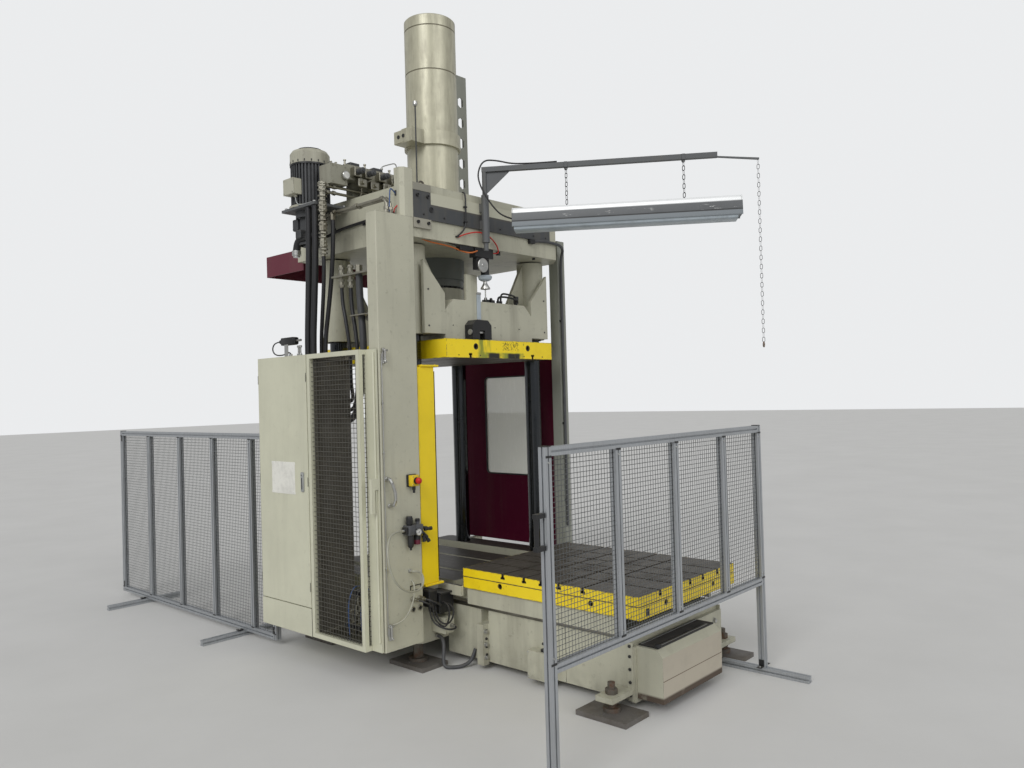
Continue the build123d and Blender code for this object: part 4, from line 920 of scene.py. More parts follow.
for x, y in [(left_x, y) for y in left_ends] + [(x, right_y) for x in right_ends]:
    low = (x - half_post, y - half_post, fence_top - 0.0002)
    block(fence_black, low, (x + half_post, y + half_post, fence_top + 0.004), 0.0015)
left_uprights = (0.624, 0.916, 1.48, 2.028, 2.587, 3.135)
for y in left_uprights:
    for z, away in ((1.458, -1), (0.087, 1)):
        if y in left_ends:
            y0, y1 = spanned(y, y + (half_post if y < 1 else -half_post))
            z0, z1 = spanned(z, z + 0.05 * away)
            block(fence_black, (-1.0625, y0, z0), (-1.06, y1 + 0.001, z1), 0.0006)
        block(fence_black, (-1.0622, y - 0.018, z - 0.004), (-1.06, y + 0.018, z + 0.004), 0.0006)
        cap_screw(fence_screws, (-1.06, y, z + 0.025 * away), left, 0.005, 0.004)
right_uprights = (-1.536, -1.018, -0.492, 0.026, 0.474)
for x in right_uprights:
    for z, away in ((1.458, -1), (0.582, 1)):
        block(fence_black, (x - 0.019, -2.3222, z - 0.005), (x + 0.019, -2.32, z + 0.005), 0.0006)
        cap_screw(fence_screws, (x, -2.32, z + 0.025 * away), front, 0.005, 0.004)
gap, leg, sheet_t = 0.0005, 0.042, 0.004
for x, side in product(right_ends, (-1, 1)):
    start = x + side * (half_post + gap)
    for reach, height in ((sheet_t, leg), (leg, sheet_t)):
        x0, x1 = spanned(start, start + side * reach)
        block(fence_black, (x0, -2.316, foot_top), (x1, -2.284, foot_top + height), 0.001)
    cap_screw(fence_screws, (start + side * 0.024, right_y, 0.049), up, 0.006, 0.005)
for y, side in product((1.063, 2.692), (-1, 1)):
    x = left_x + side * 0.041
    block(fence_black, (x - 0.02, y - 0.017, foot_top), (x + 0.02, y + 0.017, 0.052), 0.001)
    cap_screw(fence_screws, (x, y, 0.052), up, 0.006, 0.005)
piece("fence_caps_and_plates", fence_black, "black_plastic")
piece("fence_screws", fence_screws, "bright_steel")
print("uprights:", len(left_uprights), len(right_uprights))

# %% [markdown]
# ## The lamp on its jib
# A long work lamp hangs on two short chains from a swinging arm, and a pull
# chain hangs from the arm's tip. The lamp's housing is folded sheet: a flat
# top, slanted shoulders, a lip along each side and a pale diffuser below.
# The section is extruded along the arm, so one outline makes the whole
# length. A chain link is a small ring, pulled long by moving its upper half
# up and its lower half down.

# %% Lamp housing
arm_frame = Matrix.Translation(jib_foot) @ Matrix.Rotation(arm_angle, 4, "Z")
lamp_start, lamp_end, lamp_low, lamp_high = 0.19, 1.705, 2.838, 2.99


def extruded(outline, start, end, chamfer=0.0):
    """A closed outline of (across, z) pushed along x from start to end, as its own bmesh."""
    part = bmesh.new()
    loop = [part.verts.new((start, across, z)) for across, z in outline]
    face = part.faces.new(loop)
    pushed = bmesh.ops.extrude_face_region(part, geom=[face])["geom"]
    verts = [v for v in pushed if isinstance(v, bmesh.types.BMVert)]
    bmesh.ops.translate(part, vec=(end - start, 0, 0), verts=verts)
    if chamfer:
        bevel(part, part.edges[:], chamfer)
    bmesh.ops.recalc_face_normals(part, faces=part.faces[:])
    return part


half = 0.075
housing = bmesh.new()
shell = [
    (-half, 2.868), (-half, 2.905), (-0.066, 2.975), (-0.056, lamp_high), (0.056, lamp_high),
    (0.066, 2.975), (half, 2.905), (half, 2.868)
]
join(housing, extruded(shell, lamp_start, lamp_end, 0.0015), arm_frame)
for side in (-1, 1):
    outer, inner = side * half, side * (half - 0.01)
    lip = [(outer, 2.862), (outer, 2.87), (inner, 2.87), (inner, 2.862)]
    join(housing, extruded(lip, lamp_start, lamp_end), arm_frame)
for place in (lamp_start + 0.004, lamp_end - 0.01):
    block(housing, (place, -0.07, 2.866), (place + 0.006, 0.07, 2.9895), 0.002, turn=arm_frame)
piece("lamp_housing", housing, "lamp_sheet", "lamp_jib", ("lamp_fitting",))
diffuser = bmesh.new()
pane = [
    (-0.068, 2.866), (-0.064, 2.846), (-0.052, lamp_low), (0.052, lamp_low), (0.064, 2.846),
    (0.068, 2.866)
]
join(diffuser, extruded(pane, lamp_start + 0.012, lamp_end - 0.03, 0.001), arm_frame)
piece("lamp_diffuser", diffuser, "opal", "lamp_jib")
print("lamp:", round(lamp_end - lamp_start, 3), "m long")

# %% Chains, their clamps and the pull chain


def chain_link(length, wire, turned):
    """One link standing along z, lying in the xz plane or turned into the yz plane."""
    link = bmesh.new()
    radius = 0.3 * length
    section = bmesh.ops.create_circle(link, cap_ends=False, segments=5, radius=wire / 2)["verts"]
    aside = Matrix.Translation((radius - wire / 2, 0, 0))
    bmesh.ops.transform(link, matrix=aside @ Matrix.Rotation(math.pi / 2, 4, "X"), verts=section)
    bmesh.ops.rotate(link, cent=(0, 0, 0), matrix=Matrix.Rotation(math.pi / 8, 3, "Y"), verts=section)
    spin_round(link, link.verts[:] + link.edges[:], rear, 8)
    straight = (length - 2 * radius) / 2
    for side in (-1, 1):
        end = [vert for vert in link.verts if side * vert.co.z > 0]
        bmesh.ops.translate(link, vec=(0, 0, side * straight), verts=end)
    bmesh.ops.recalc_face_normals(link, faces=link.faces[:])
    return link, Matrix.Rotation(math.pi / 2 if turned else 0.0, 4, "Z")


def hang_chain(bm, top, bottom, pitch, wire):
    """Links from a top point straight down to a bottom height, each a quarter turn on."""
    count = max(2, round((top[2] - bottom) / pitch))
    step = (top[2] - bottom) / count
    for i in range(count):
        link, quarter = chain_link(step + 1.6 * wire, wire, i % 2)
        join(bm, link, Matrix.Translation((top[0], top[1], top[2] - (i + 0.5) * step)) @ quarter)
    return count


chains = bmesh.new()
clamps = bmesh.new()
arm_low, arm_high, arm_half = 3.259, 3.293, 0.017
for along in (0.56, 1.34):
    top = on_arm(along, 0.0, arm_low - 0.012)
    print("chain links:", hang_chain(chains, top, lamp_high + 0.018, 0.03, 0.0055))
    strap = bmesh.new()
    low = (along - 0.011, -arm_half - 0.004, arm_low - 0.003)
    block(strap, low, (along + 0.011, arm_half + 0.004, arm_high + 0.001), 0.001)
    join(clamps, strap, arm_frame)
    eye = on_arm(along, 0.0, arm_low - 0.008)
    ring(clamps, 0.006, 0.012, -0.003, 0.003, eye, arm_side, 12)
    ring(clamps, 0.005, 0.011, -0.0025, 0.0025, on_arm(along, 0.0, lamp_high + 0.01), arm_way, 12)
    low, high = (along - 0.02, -0.012, lamp_high - 0.0005), (along + 0.02, 0.012, lamp_high + 0.004)
    block(clamps, low, high, 0.001, turn=arm_frame)
pull_top, pull_low = on_arm(1.82, 0.0, 3.226), 2.03
print("pull chain links:", hang_chain(chains, pull_top, pull_low, 0.03, 0.0035))
knob = [(0.0, -0.02), (0.006, -0.018), (0.008, 0.0), (0.005, 0.016), (0.0, 0.02)]
lathe(chains, knob, (pull_top[0], pull_top[1], pull_low - 0.016), steps=10)
piece("lamp_chain_links", chains, "chain_steel", "lamp_jib", ("lamp_chains",))
piece("arm_clamps_and_rod", clamps, "jib_grey", "lamp_jib")

# %% [markdown]
# ## Bolts of the big castings
# Every large piece is bolted down, and the rows of heads tell how big it is.
# One bmesh holds all bolts of one finish, and each is placed on its surface
# by a point and the direction that it faces. Sunk screws are used where the
# real machine has them, in the clamp plates and on the cylinder's collar.

# %% Bolts of the crosshead, cylinder, base, pump plate, guard and hood
dark_bolts = bmesh.new()
beam_face, gland_r = -0.6545, 0.192
for spot in product((-0.752, -0.664), (-0.656,), (3.015, 2.844)):
    cap_screw(dark_bolts, spot, front, 0.011, 0.01)
for x in (-0.7, -0.52, -0.34, 0.02, 0.2, 0.38, 0.52):
    cap_screw(dark_bolts, (x, beam_face, 2.898), front, 0.006, 0.004)
for angle in around(24, 0.5):
    spot = (gland_r * math.cos(angle), gland_r * math.sin(angle), 2.546)
    bolt(dark_bolts, spot, down_way, 0.019, 0.014, 0.0)
for y in (-0.023, 0.03):
    cap_screw(dark_bolts, (-0.309, y, 3.641), left, 0.014, 0.004)
piece("dark_cap_screws", dark_bolts, "black_plastic")

steel_bolts = bmesh.new()
hex_rows = (
    ((-0.515, 0.515), (-0.925,), (0.085, 0.165, 0.245), front, 0.022, 0.012, 0.003),
    ((-0.45, 0.45), (-1.65, -1.2, -0.7), (0.398,), up, 0.016, 0.007, 0.0),
    ((-0.35, -0.12, 0.25, 0.4), (-2.02,), (0.12, 0.29), front, 0.024, 0.014, 0.003),
    ((-1.046, -0.806), (0.04, 0.372), (3.048,), up, 0.018, 0.011, 0.003),
    ((0.853,), (-0.4, 0.48), (0.6, 1.3, 1.85), right_way, 0.016, 0.009, 0.003),
    ((-0.7, -0.35, 0.0, 0.35, 0.7), (1.14,), (2.78,), rear, 0.016, 0.009, 0.003),
)
for xs, ys, zs, way, across, head, washer in hex_rows:
    for spot in product(xs, ys, zs):
        bolt(steel_bolts, spot, way, across, head, washer)
piece("steel_bolts", steel_bolts, "bright_steel")

eye_bolts = bmesh.new()
for x, y in product((-0.56, 0.64), (-0.48, 0.48)):
    rod(eye_bolts, (x, y, 3.1), (x, y, 3.112), 0.024, 16)
    rod(eye_bolts, (x, y, 3.112), (x, y, 3.122), 0.016, 12)
    turns = [math.pi * k / 4 for k in range(9)]
    circle = [(0.022 + 0.007 * math.cos(turn), 0.007 * math.sin(turn)) for turn in turns]
    lathe(eye_bolts, circle, (x, y, 3.147), rear, 18)
piece("crosshead_eye_bolts", eye_bolts, "rusty_steel")
print("bolts:", [name for name in pieces if "bolts" in name or "cap_screws" in name])

# %% Clamp lug, nuts of the pipes
lug = bmesh.new()
block(lug, (-0.309, -0.066, 3.594), (-0.196, 0.084, 3.688), 0.004)
piece("clamp_lug", lug, "cylinder_steel")
nuts = bmesh.new()
stack = (-1.022, -0.018)
wide_nuts = (2.726, 2.834, 2.89, 2.922, 2.99, 3.018, 3.082, 3.122, 3.15, 3.166)
narrow_nuts = (2.7, 2.752, 2.776, 2.808, 2.864, 2.952, 3.052)
for heights, radius in ((wide_nuts, 0.0305), (narrow_nuts, 0.0265)):
    for z in heights:
        rod(nuts, (*stack, z - 0.005), (*stack, z + 0.005), radius, 6)
for x, z in product((-0.985, -0.93, -0.64), (3.116, 3.158)):
    rod(nuts, (x - 0.01, -0.018, z), (x + 0.01, -0.018, z), 0.0165, 6)
for x in (-0.93, -0.962):
    for y in (0.13, -0.06, -0.3, -0.56):
        rod(nuts, (x, y - 0.011, 2.975), (x, y + 0.011, 2.975), 0.016, 6)
    rod(nuts, (x, -0.6, 2.9), (x, -0.6, 2.918), 0.017, 6)
for y, low in ((-0.178, 2.454), (-0.273, 2.443)):
    for z in (low + 0.012, low + 0.05, 2.545, 2.58):
        rod(nuts, (-1.0, y, z - 0.007), (-1.0, y, z + 0.007), 0.0205, 6)
piece("pipe_nuts", nuts, "valve_steel")
print("nuts: on the stack, both pipe pairs and the hose plate")

# %% [markdown]
# ## Pump and motor details
# The motor's cowl has a dark rim and air slots, the terminal box a lid with
# four screws and a gland, and a thin cable drops from it to the plate. Under
# the plate a suction elbow of black hose, with bright clamps, turns down.
# A bend of hose is a circle swept along a short curve, so it is made from a
# curve with a bevel and turned into a mesh.

# %% Swept runs: cables, pipes and bends


def swept(name, points, diameter, finish, body="frame", sides=5):
    """A short pipe or cable fixed at both ends: a smooth curve turned into a mesh."""
    curve = smooth_curve(name, points, diameter, 8, sides)
    shape = bpy.data.objects.new(name + "_shape", curve)
    mesh = bpy.data.meshes.new_from_object(shape)
    bpy.data.objects.remove(shape)
    bpy.data.curves.remove(curve)
    bm = bmesh.new()
    bm.from_mesh(mesh)
    bpy.data.meshes.remove(mesh)
    bmesh.ops.remove_doubles(bm, verts=bm.verts[:], dist=1e-6)
    bmesh.ops.recalc_face_normals(bm, faces=bm.faces[:])
    return piece(name, bm, finish, body, smooth=60.0)


# %% Motor, terminal box, suction elbow
motor = Vector((-0.925, 0.255, 0.0))
cowl_trim = bmesh.new()
ring(cowl_trim, 0.1345, 0.1365, 3.341, 3.353, motor, steps=48)
for angle in around(18):
    out = Vector((math.cos(angle), math.sin(angle), 0.0))
    spot = motor + 0.1345 * out
    rod(cowl_trim, spot + Vector((0, 0, 3.358)), spot + Vector((0, 0, 3.372)), 0.0042, 6)
lathe(cowl_trim, [(0.02, 3.4625), (0.02, 3.4655), (0.0, 3.4655)], motor, steps=16)
for radius in (0.04, 0.06, 0.08, 0.1):
    level = 3.4642 - 0.034 * max(0.0, radius - 0.082) / 0.038
    low, high = level - 0.004, level + 0.0006
    inner, outer = radius - 0.004, radius + 0.004
    lathe(cowl_trim, [(inner, low), (inner, high), (outer, high), (outer, low)], motor, steps=36)
piece("cowl_rim_and_slots", cowl_trim, "black_plastic")
motor_fittings = bmesh.new()
block(motor_fittings, (-1.1045, 0.193, 3.128), (-1.098, 0.317, 3.238), 0.003)
for spot in product((-1.1045,), (0.205, 0.305), (3.14, 3.226)):
    cap_screw(motor_fittings, spot, left, 0.005, 0.003)
rod(motor_fittings, (-1.07, 0.222, 3.13), (-1.07, 0.222, 3.112), 0.012, 6)
collar = [(0.133, 3.048), (0.146, 3.048), (0.146, 3.062), (0.133, 3.062)]
lathe(motor_fittings, collar, motor, steps=36)
piece("terminal_lid_and_flange", motor_fittings, "cowl_olive")
swept("terminal_cable", [
    (-1.07, 0.222, 3.118), (-1.07, 0.22, 3.085), (-1.064, 0.205, 3.06), (-1.058, 0.18, 3.052),
    (-1.054, 0.12, 3.052), (-1.054, 0.06, 3.052)
], 0.008, "grey_plastic")
pump_parts = bmesh.new()
casing, flange_low = 0.0785, 2.985
foot = [(0.0, 2.792), (0.06, 2.792), (0.06, 2.8), (0.088, 2.8), (0.088, 2.816), (casing, 2.816)]
lathe(pump_parts, foot, motor, steps=32)
flange = [(casing, flange_low), (0.104, flange_low), (0.104, 3.0295), (casing, 3.0295)]
lathe(pump_parts, flange, motor, steps=32)
block(pump_parts, (-1.01, 0.3, 2.905), (-0.93, 0.36, flange_low), 0.006)
block(pump_parts, (-1.045, 0.215, 2.835), (-0.985, 0.275, 2.895), 0.006)
for angle in around(6):
    spot = (motor.x + 0.092 * math.cos(angle), motor.y + 0.092 * math.sin(angle), flange_low)
    bolt(pump_parts, spot, down_way, 0.014, 0.009)
piece("pump_flanges", pump_parts, "motor_casting")
swept("suction_elbow", [
    (-1.0, 0.07, 2.836), (-1.0, 0.15, 2.842), (-1.0, 0.235, 2.846), (-1.0, 0.29, 2.838),
    (-1.0, 0.322, 2.806), (-1.0, 0.33, 2.762)
], 0.052, "black_rubber", sides=9)
suction = bmesh.new()
outlet = (-1.0, 0.33)
rod(suction, (*outlet, 2.768), (*outlet, 2.735), 0.031, 20)
rod(suction, (*outlet, 2.735), (*outlet, 2.722), 0.024, 16)
rod(suction, (-1.0, 0.104, 2.838), (-1.0, 0.078, 2.837), 0.03, 20)
rod(suction, (-1.0, 0.08, 2.837), (-1.0, 0.012, 2.836), 0.016, 12)
rod(suction, (-1.022, -0.002, 2.836), (-1.0, 0.03, 2.836), 0.014, 12)
block(suction, (-1.007, 0.355, 2.744), (-0.993, 0.372, 2.762), 0.002)
piece("suction_clamps", suction, "bright_steel")

# %% [markdown]
# ## Valve block
# The block on top of the crosshead carries the directional valves: square
# valve bodies with round solenoids at their ends, adjusting screws with
# lock nuts and a pressure gauge. The same few turned shapes come back, so one
# function makes a coil, another a screw with its nut, and lists say where.

# %% Valves, solenoids, screws and thin pipes
valve_steel = bmesh.new()
solenoids = bmesh.new()


def solenoid(start, way, length, radius):
    """A coil with its ribs and the nut at its end, its outline given in shares."""
    outline = (
        (0, 0), (1, 0), (1, 0.3), (0.85, 0.34), (1, 0.38), (1, 0.8), (0.6, 0.86), (0.6, 1), (0, 1)
    )
    lathe(solenoids, [(r * radius, z * length) for r, z in outline], start, way, 18)


def screw_with_nut(bm, place, way, length, radius):
    """A lock nut, the screw's shank and its head."""
    place, way = Vector(place), Vector(way).normalized()
    rod(bm, place, place + 0.35 * length * way, 1.9 * radius, 6)
    rod(bm, place + 0.35 * length * way, place + length * way, radius, 10)
    rod(bm, place + length * way, place + 1.18 * length * way, 1.5 * radius, 10)


valve_front = -0.06
for x in (-0.79, -0.7, -0.58, -0.47):
    block(valve_steel, (x - 0.03, valve_front - 0.052, 3.236), (x + 0.03, valve_front, 3.3), 0.003)
    solenoid((x, valve_front - 0.052, 3.268), front, 0.062, 0.021)
for x, z in ((-0.745, 3.205), (-0.64, 3.2), (-0.53, 3.206)):
    low = (x - 0.036, valve_front - 0.04, z - 0.03)
    block(valve_steel, low, (x + 0.036, valve_front - 0.002, z + 0.028), 0.004)
    rod(valve_steel, (x, valve_front - 0.04, z), (x, valve_front - 0.06, z), 0.016, 6)
for x in (-0.82, -0.65, -0.5, -0.43):
    screw_with_nut(valve_steel, (x, 0.0, 3.321), up, 0.04, 0.007)
for x in (-0.76, -0.56):
    block(solenoids, (x - 0.04, -0.035, 3.321), (x + 0.04, 0.03, 3.35), 0.004)
for y in (-0.03, 0.035):
    screw_with_nut(valve_steel, (-0.4, y, 3.29), right_way, 0.045, 0.008)
    rod(valve_steel, (-0.4, y, 3.25), (-0.372, y, 3.25), 0.015, 6)
for x in (-0.93, -0.89):
    screw_with_nut(valve_steel, (x, 0.005, 3.307), up, 0.026, 0.006)
for spot in product((-0.962, -0.862), (valve_front,), (3.186, 3.293)):
    cap_screw(valve_steel, spot, front, 0.005, 0.003)
piece("valves", valve_steel, "valve_steel")
piece("valve_solenoids", solenoids, "motor_casting")
gauge = bmesh.new()
gauge_x, gauge_z = -0.868, 3.236
rim = [(0.0, 0.0), (0.026, 0.0), (0.03, 0.004), (0.03, 0.022), (0.026, 0.026), (0.0, 0.026)]
lathe(gauge, rim, (gauge_x, valve_front, gauge_z), front, 24)
piece("valve_gauge", gauge, "bright_steel")
dial = bmesh.new()
glass, face = valve_front - 0.0255, valve_front - 0.0268
rod(dial, (gauge_x, glass, gauge_z), (gauge_x, face, gauge_z), 0.0225, 24)
piece("valve_gauge_dial", dial, "white_plastic")
swept("drain_pipe", [
    (-0.529, -0.03, 3.33), (-0.529, -0.03, 3.362), (-0.505, -0.03, 3.378), (-0.44, -0.03, 3.404),
    (-0.402, -0.03, 3.417), (-0.386, -0.03, 3.4), (-0.385, -0.03, 3.34), (-0.385, -0.03, 3.292)
], 0.008, "bright_steel")
vent_at = (-0.3, -0.15)
swept(
    "vent_pipe", [(*vent_at, z) for z in (3.1, 3.4, 3.7, 3.83)], 0.011, "motor_casting",
)
vent = bmesh.new()
rod(vent, (*vent_at, 3.1), (*vent_at, 3.125), 0.014, 6)
cap = [(0.0, 3.866), (0.016, 3.86), (0.018, 3.836), (0.012, 3.826), (0.0, 3.826)]
lathe(vent, cap, (*vent_at, 0.0), steps=14)
piece("vent_cap", vent, "bright_steel")
print("valve parts:", sorted(n for n in pieces if "valve" in n or "vent" in n))

# %% [markdown]
# ## Crosshead front
# Under the crosshead's front edge hangs the stroke sensor: a dark block, a
# round drum on a bracket and a small valve below it. Cables come out of the
# riser and run to it, and one black cable climbs over the top. Where a cable
# is free between two clamps it is made as a cord along a smooth curve, and its length is printed.

# %% Stroke sensor
drum_x, drum_z, bowl, underside = -0.168, 2.626, (-0.094, -0.602), 2.7495
sensor = bmesh.new()
block(sensor, (-0.22, -0.64, 2.682), (-0.04, -0.575, underside), 0.004)
block(sensor, (-0.2, -0.632, 2.6), (-0.13, -0.585, 2.684), 0.004)
block(sensor, (-0.118, -0.625, 2.56), (-0.07, -0.58, 2.684), 0.005)
plug(sensor, 0.03, 0.0, 0.018, (drum_x, -0.632, drum_z), front, 24)
block(sensor, (-0.36, -0.636, 2.715), (-0.23, -0.59, underside), 0.003)
for x in (-0.205, -0.055):
    cap_screw(sensor, (x, -0.64, 2.735), front, 0.005, 0.004)
rod(sensor, (*bowl, 2.56), (*bowl, 2.53), 0.02, 14)
rod(sensor, (0.05, -0.6, underside), (0.05, -0.6, 2.725), 0.016, 12)
piece("stroke_sensor", sensor, "black_plastic")
drum = bmesh.new()
rim = [(0.0, 0.0), (0.046, 0.0), (0.049, 0.003), (0.049, 0.009), (0.044, 0.012), (0.04, 0.0105)]
lathe(drum, rim + [(0.012, 0.0105), (0.01, 0.014), (0.0, 0.014)], (drum_x, -0.65, drum_z), front, 36)
for angle in around(6):
    spot = (drum_x + 0.026 * math.cos(angle), -0.6605, drum_z + 0.026 * math.sin(angle))
    cap_screw(drum, spot, front, 0.003, 0.002)
piece("sensor_drum", drum, "bright_steel")
dome = bmesh.new()
bulb = [
    (0.0, 2.528), (0.03, 2.53), (0.044, 2.54), (0.05, 2.556), (0.046, 2.566), (0.02, 2.57), (0.0, 2.57)
]
lathe(dome, bulb, (*bowl, 0.0), steps=24)
piece("sensor_bowl", dome, "opal")
plunger = bmesh.new()
stem = [
    (0.0, 2.52), (0.01, 2.52), (0.034, 2.478), (0.034, 2.472), (0.008, 2.47), (0.0045, 2.468),
    (0.0045, 2.3965), (0.0, 2.3965)
]
lathe(plunger, stem, (*bowl, 0.0), steps=20)
rod(plunger, (*bowl, 2.53), (*bowl, 2.512), 0.014, 12)
piece("sensor_plunger", plunger, "bright_steel")
beam_marks = bmesh.new()
socket = [
    (0.0, -0.0005), (0.019, -0.0005), (0.019, 0.003), (0.015, 0.004), (0.013, 0.001), (0.0, 0.001)
]
lathe(beam_marks, socket, (-0.633, -0.654, 2.936), front, 20)
for x, z in ((-0.76, 2.724), (0.44, 2.724)):
    rod(beam_marks, (x, -0.6, underside), (x, -0.6, 2.735), 0.012, 6)
piece("beam_hole_and_studs", beam_marks, "black_plastic")

# %% Cables at the crosshead
cables = {
    "cable_over_beam": (0.011, "black_rubber", [
        (0.214, -0.05, 3.108), (0.12, -0.16, 3.107), (-0.06, -0.38, 3.107), (-0.26, -0.56, 3.108),
        (-0.326, -0.636, 3.112), (-0.334, -0.668, 3.088), (-0.333, -0.668, 3.0), (-0.331, -0.666, 2.9),
        (-0.345, -0.664, 2.85), (-0.38, -0.661, 2.815), (-0.4, -0.654, 2.8)
    ]),
    "cable_sensor_red": (0.009, "button_red", [
        (-0.4, -0.654, 2.79), (-0.37, -0.662, 2.806), (-0.305, -0.668, 2.828), (-0.217, -0.672, 2.848),
        (-0.121, -0.672, 2.836), (-0.04, -0.668, 2.785), (-0.01, -0.662, 2.738), (-0.012, -0.65, 2.724),
        (-0.038, -0.622, 2.726)
    ]),
    "cable_orange": (0.01, "orange_cable", [
        (-0.786, -0.56, 2.8), (-0.76, -0.585, 2.78), (-0.64, -0.606, 2.742), (-0.5, -0.61, 2.736),
        (-0.4, -0.61, 2.728), (-0.33, -0.62, 2.708), (-0.28, -0.64, 2.7), (-0.232, -0.648, 2.712),
        (-0.205, -0.641, 2.724)
    ]),
    "cable_black_a": (0.013, "black_rubber", [
        (-0.786, -0.575, 2.815), (-0.755, -0.6, 2.8), (-0.64, -0.62, 2.766), (-0.5, -0.624, 2.758),
        (-0.4, -0.622, 2.746), (-0.36, -0.622, 2.738), (-0.345, -0.62, 2.732)
    ]),
    "cable_blue": (0.008, "blue_cable", [
        (-0.945, -0.604, 2.868), (-0.945, -0.604, 2.9), (-0.938, -0.606, 2.96), (-0.936, -0.606, 3.01),
        (-0.925, -0.6, 3.04), (-0.9, -0.596, 3.03), (-0.878, -0.594, 3.01)
    ]),
    "cable_dark_red": (0.007, "button_red", [
        (-0.905, -0.604, 2.868), (-0.905, -0.604, 2.905), (-0.89, -0.604, 2.925),
        (-0.862, -0.606, 2.95), (-0.846, -0.604, 2.985), (-0.85, -0.6, 3.01), (-0.872, -0.596, 3.025)
    ]),
}
for name, (diameter, finish, points) in cables.items():
    free_cord(name, points, diameter, finish)
glands = bmesh.new()
gland_of = (("blue", up), ("dark_red", up), ("orange", right_way), ("black_a", right_way))
for cable, way in gland_of:
    spot, way = Vector(cables["cable_" + cable][2][0]), Vector(way)
    rod(glands, spot - 0.002 * way, spot + 0.008 * way, 0.011, 6)
    rod(glands, spot + 0.008 * way, spot + 0.02 * way, 0.009, 12, 0.0065)
for spot in ((-0.334, -0.6545, 3.0), (-0.331, -0.6545, 2.9), (-0.4, -0.6405, 2.795)):
    x, y, z = spot
    block(glands, (x - 0.012, y - 0.02, z - 0.005), (x + 0.012, y, z + 0.005), 0.002)
block(glands, (-0.884, -0.602, 3.0), (-0.866, -0.588, 3.035), 0.002)
block(glands, (0.205, -0.06, 3.0995), (0.222, -0.04, 3.116), 0.002)
piece("cable_glands_and_clips", glands, "black_plastic")

# %% [markdown]
# ## Ram and platens
# On the ram ride the hoses' connectors, a translucent gauge strip and the
# hook's pin. They belong to the ram's body, so they go down with it.

# %% Pieces on the ram
ram_black = bmesh.new()
for x in (-0.01, 0.045):
    block(ram_black, (x - 0.02, -0.545, 2.3895), (x + 0.02, -0.5, 2.412), 0.004)
    rod(ram_black, (x, -0.522, 2.412), (x, -0.522, 2.428), 0.013, 12, 0.009)
for x in (0.12, 0.15):
    rod(ram_black, (x, -0.52, 2.3895), (x, -0.52, 2.412), 0.012, 8)
piece("ram_connectors", ram_black, "black_plastic", "ram")
ram_loops = {
    "ram_hose_low": (0.016, [
        (0.12, -0.52, 2.41), (0.122, -0.52, 2.432), (0.14, -0.522, 2.444), (0.2, -0.526, 2.446),
        (0.26, -0.526, 2.442), (0.32, -0.524, 2.436), (0.35, -0.512, 2.43), (0.372, -0.47, 2.428)
    ]),
    "ram_hose_high": (0.014, [
        (0.15, -0.52, 2.41), (0.15, -0.52, 2.45), (0.168, -0.522, 2.47), (0.22, -0.524, 2.468),
        (0.29, -0.52, 2.462), (0.34, -0.5, 2.456), (0.372, -0.462, 2.452)
    ]),
}
for name, (diameter, points) in ram_loops.items():
    swept(name, points, diameter, "black_rubber", "ram")
sleeve_block = bmesh.new()
block(sleeve_block, (0.366, -0.482, 2.414), (0.392, -0.448, 2.468), 0.003)
block(sleeve_block, (0.366, -0.474, 2.3895), (0.386, -0.456, 2.415), 0.002)
for z, x in product((2.2, 2.44), (-0.592, 0.592)):
    cap_screw(sleeve_block, (x, -0.558, z), front, 0.006, 0.004)
for x in (-0.373, 0.04, 0.3):
    cap_screw(sleeve_block, (x, -0.558, 2.212), front, 0.004, 0.003)
piece("ram_port_blocks", sleeve_block, "motor_casting", "ram")
strip = bmesh.new()
block(strip, (-0.142, -0.566, 2.252), (-0.104, -0.5578, 2.448), 0.002)
piece("gauge_strip", strip, "opal", "ram")
strip_ends = bmesh.new()
for z in (2.256, 2.444):
    block(strip_ends, (-0.144, -0.568, z - 0.008), (-0.102, -0.5578, z + 0.008), 0.0015)
    cap_screw(strip_ends, (-0.123, -0.568, z), front, 0.004, 0.003)
pin_line = (-0.612, 2.166)
for x0, x1, radius in ((-0.206, -0.134, 0.014), (-0.268, -0.262, 0.02), (-0.078, -0.072, 0.02)):
    rod(strip_ends, (x0, *pin_line), (x1, *pin_line), radius, 16)
piece("gauge_ends_and_hook_pin", strip_ends, "bright_steel", "ram")
sleeve_rings = bmesh.new()
bore = 0.0602
low_lip = [(bore, 2.143), (0.074, 2.143), (0.076, 2.1497), (bore, 2.1497), (bore, 2.143)]
high_lip = [(bore, 2.7403), (0.08, 2.7403), (0.078, 2.7445), (bore, 2.7445), (bore, 2.7403)]
for x, y in product((-0.612, 0.612), (-0.408, 0.408)):
    for lip in (low_lip, high_lip):
        lathe(sleeve_rings, lip, (x, y, 0.0), steps=32)
piece("sleeve_wipers", sleeve_rings, "black_rubber", "ram")
plate_holes = bmesh.new()
for x in (-0.43, -0.225, -0.076, 0.133, 0.225, 0.43):
    rod(plate_holes, (x, -0.665, 2.004), (x, -0.6656, 2.004), 0.005, 12)
for x in (-0.268, 0.268):
    ring(plate_holes, 0.0155, 0.0215, 0.0, 0.0008, (x, -0.665, 2.064), front, 28)
piece("platen_small_holes", plate_holes, "black_plastic", "ram")
print("ram pieces:", [n for n in pieces if "ram" in n or "sleeve" in n or "gauge" in n])

# %% [markdown]
# ## Riser front
# The riser carries what the operator needs: an emergency stop, an air
# service unit with its gauge, regulator and bowls, and two pairs of sockets.
# A thin tube leaves the unit in a wide loop and comes back to a port.

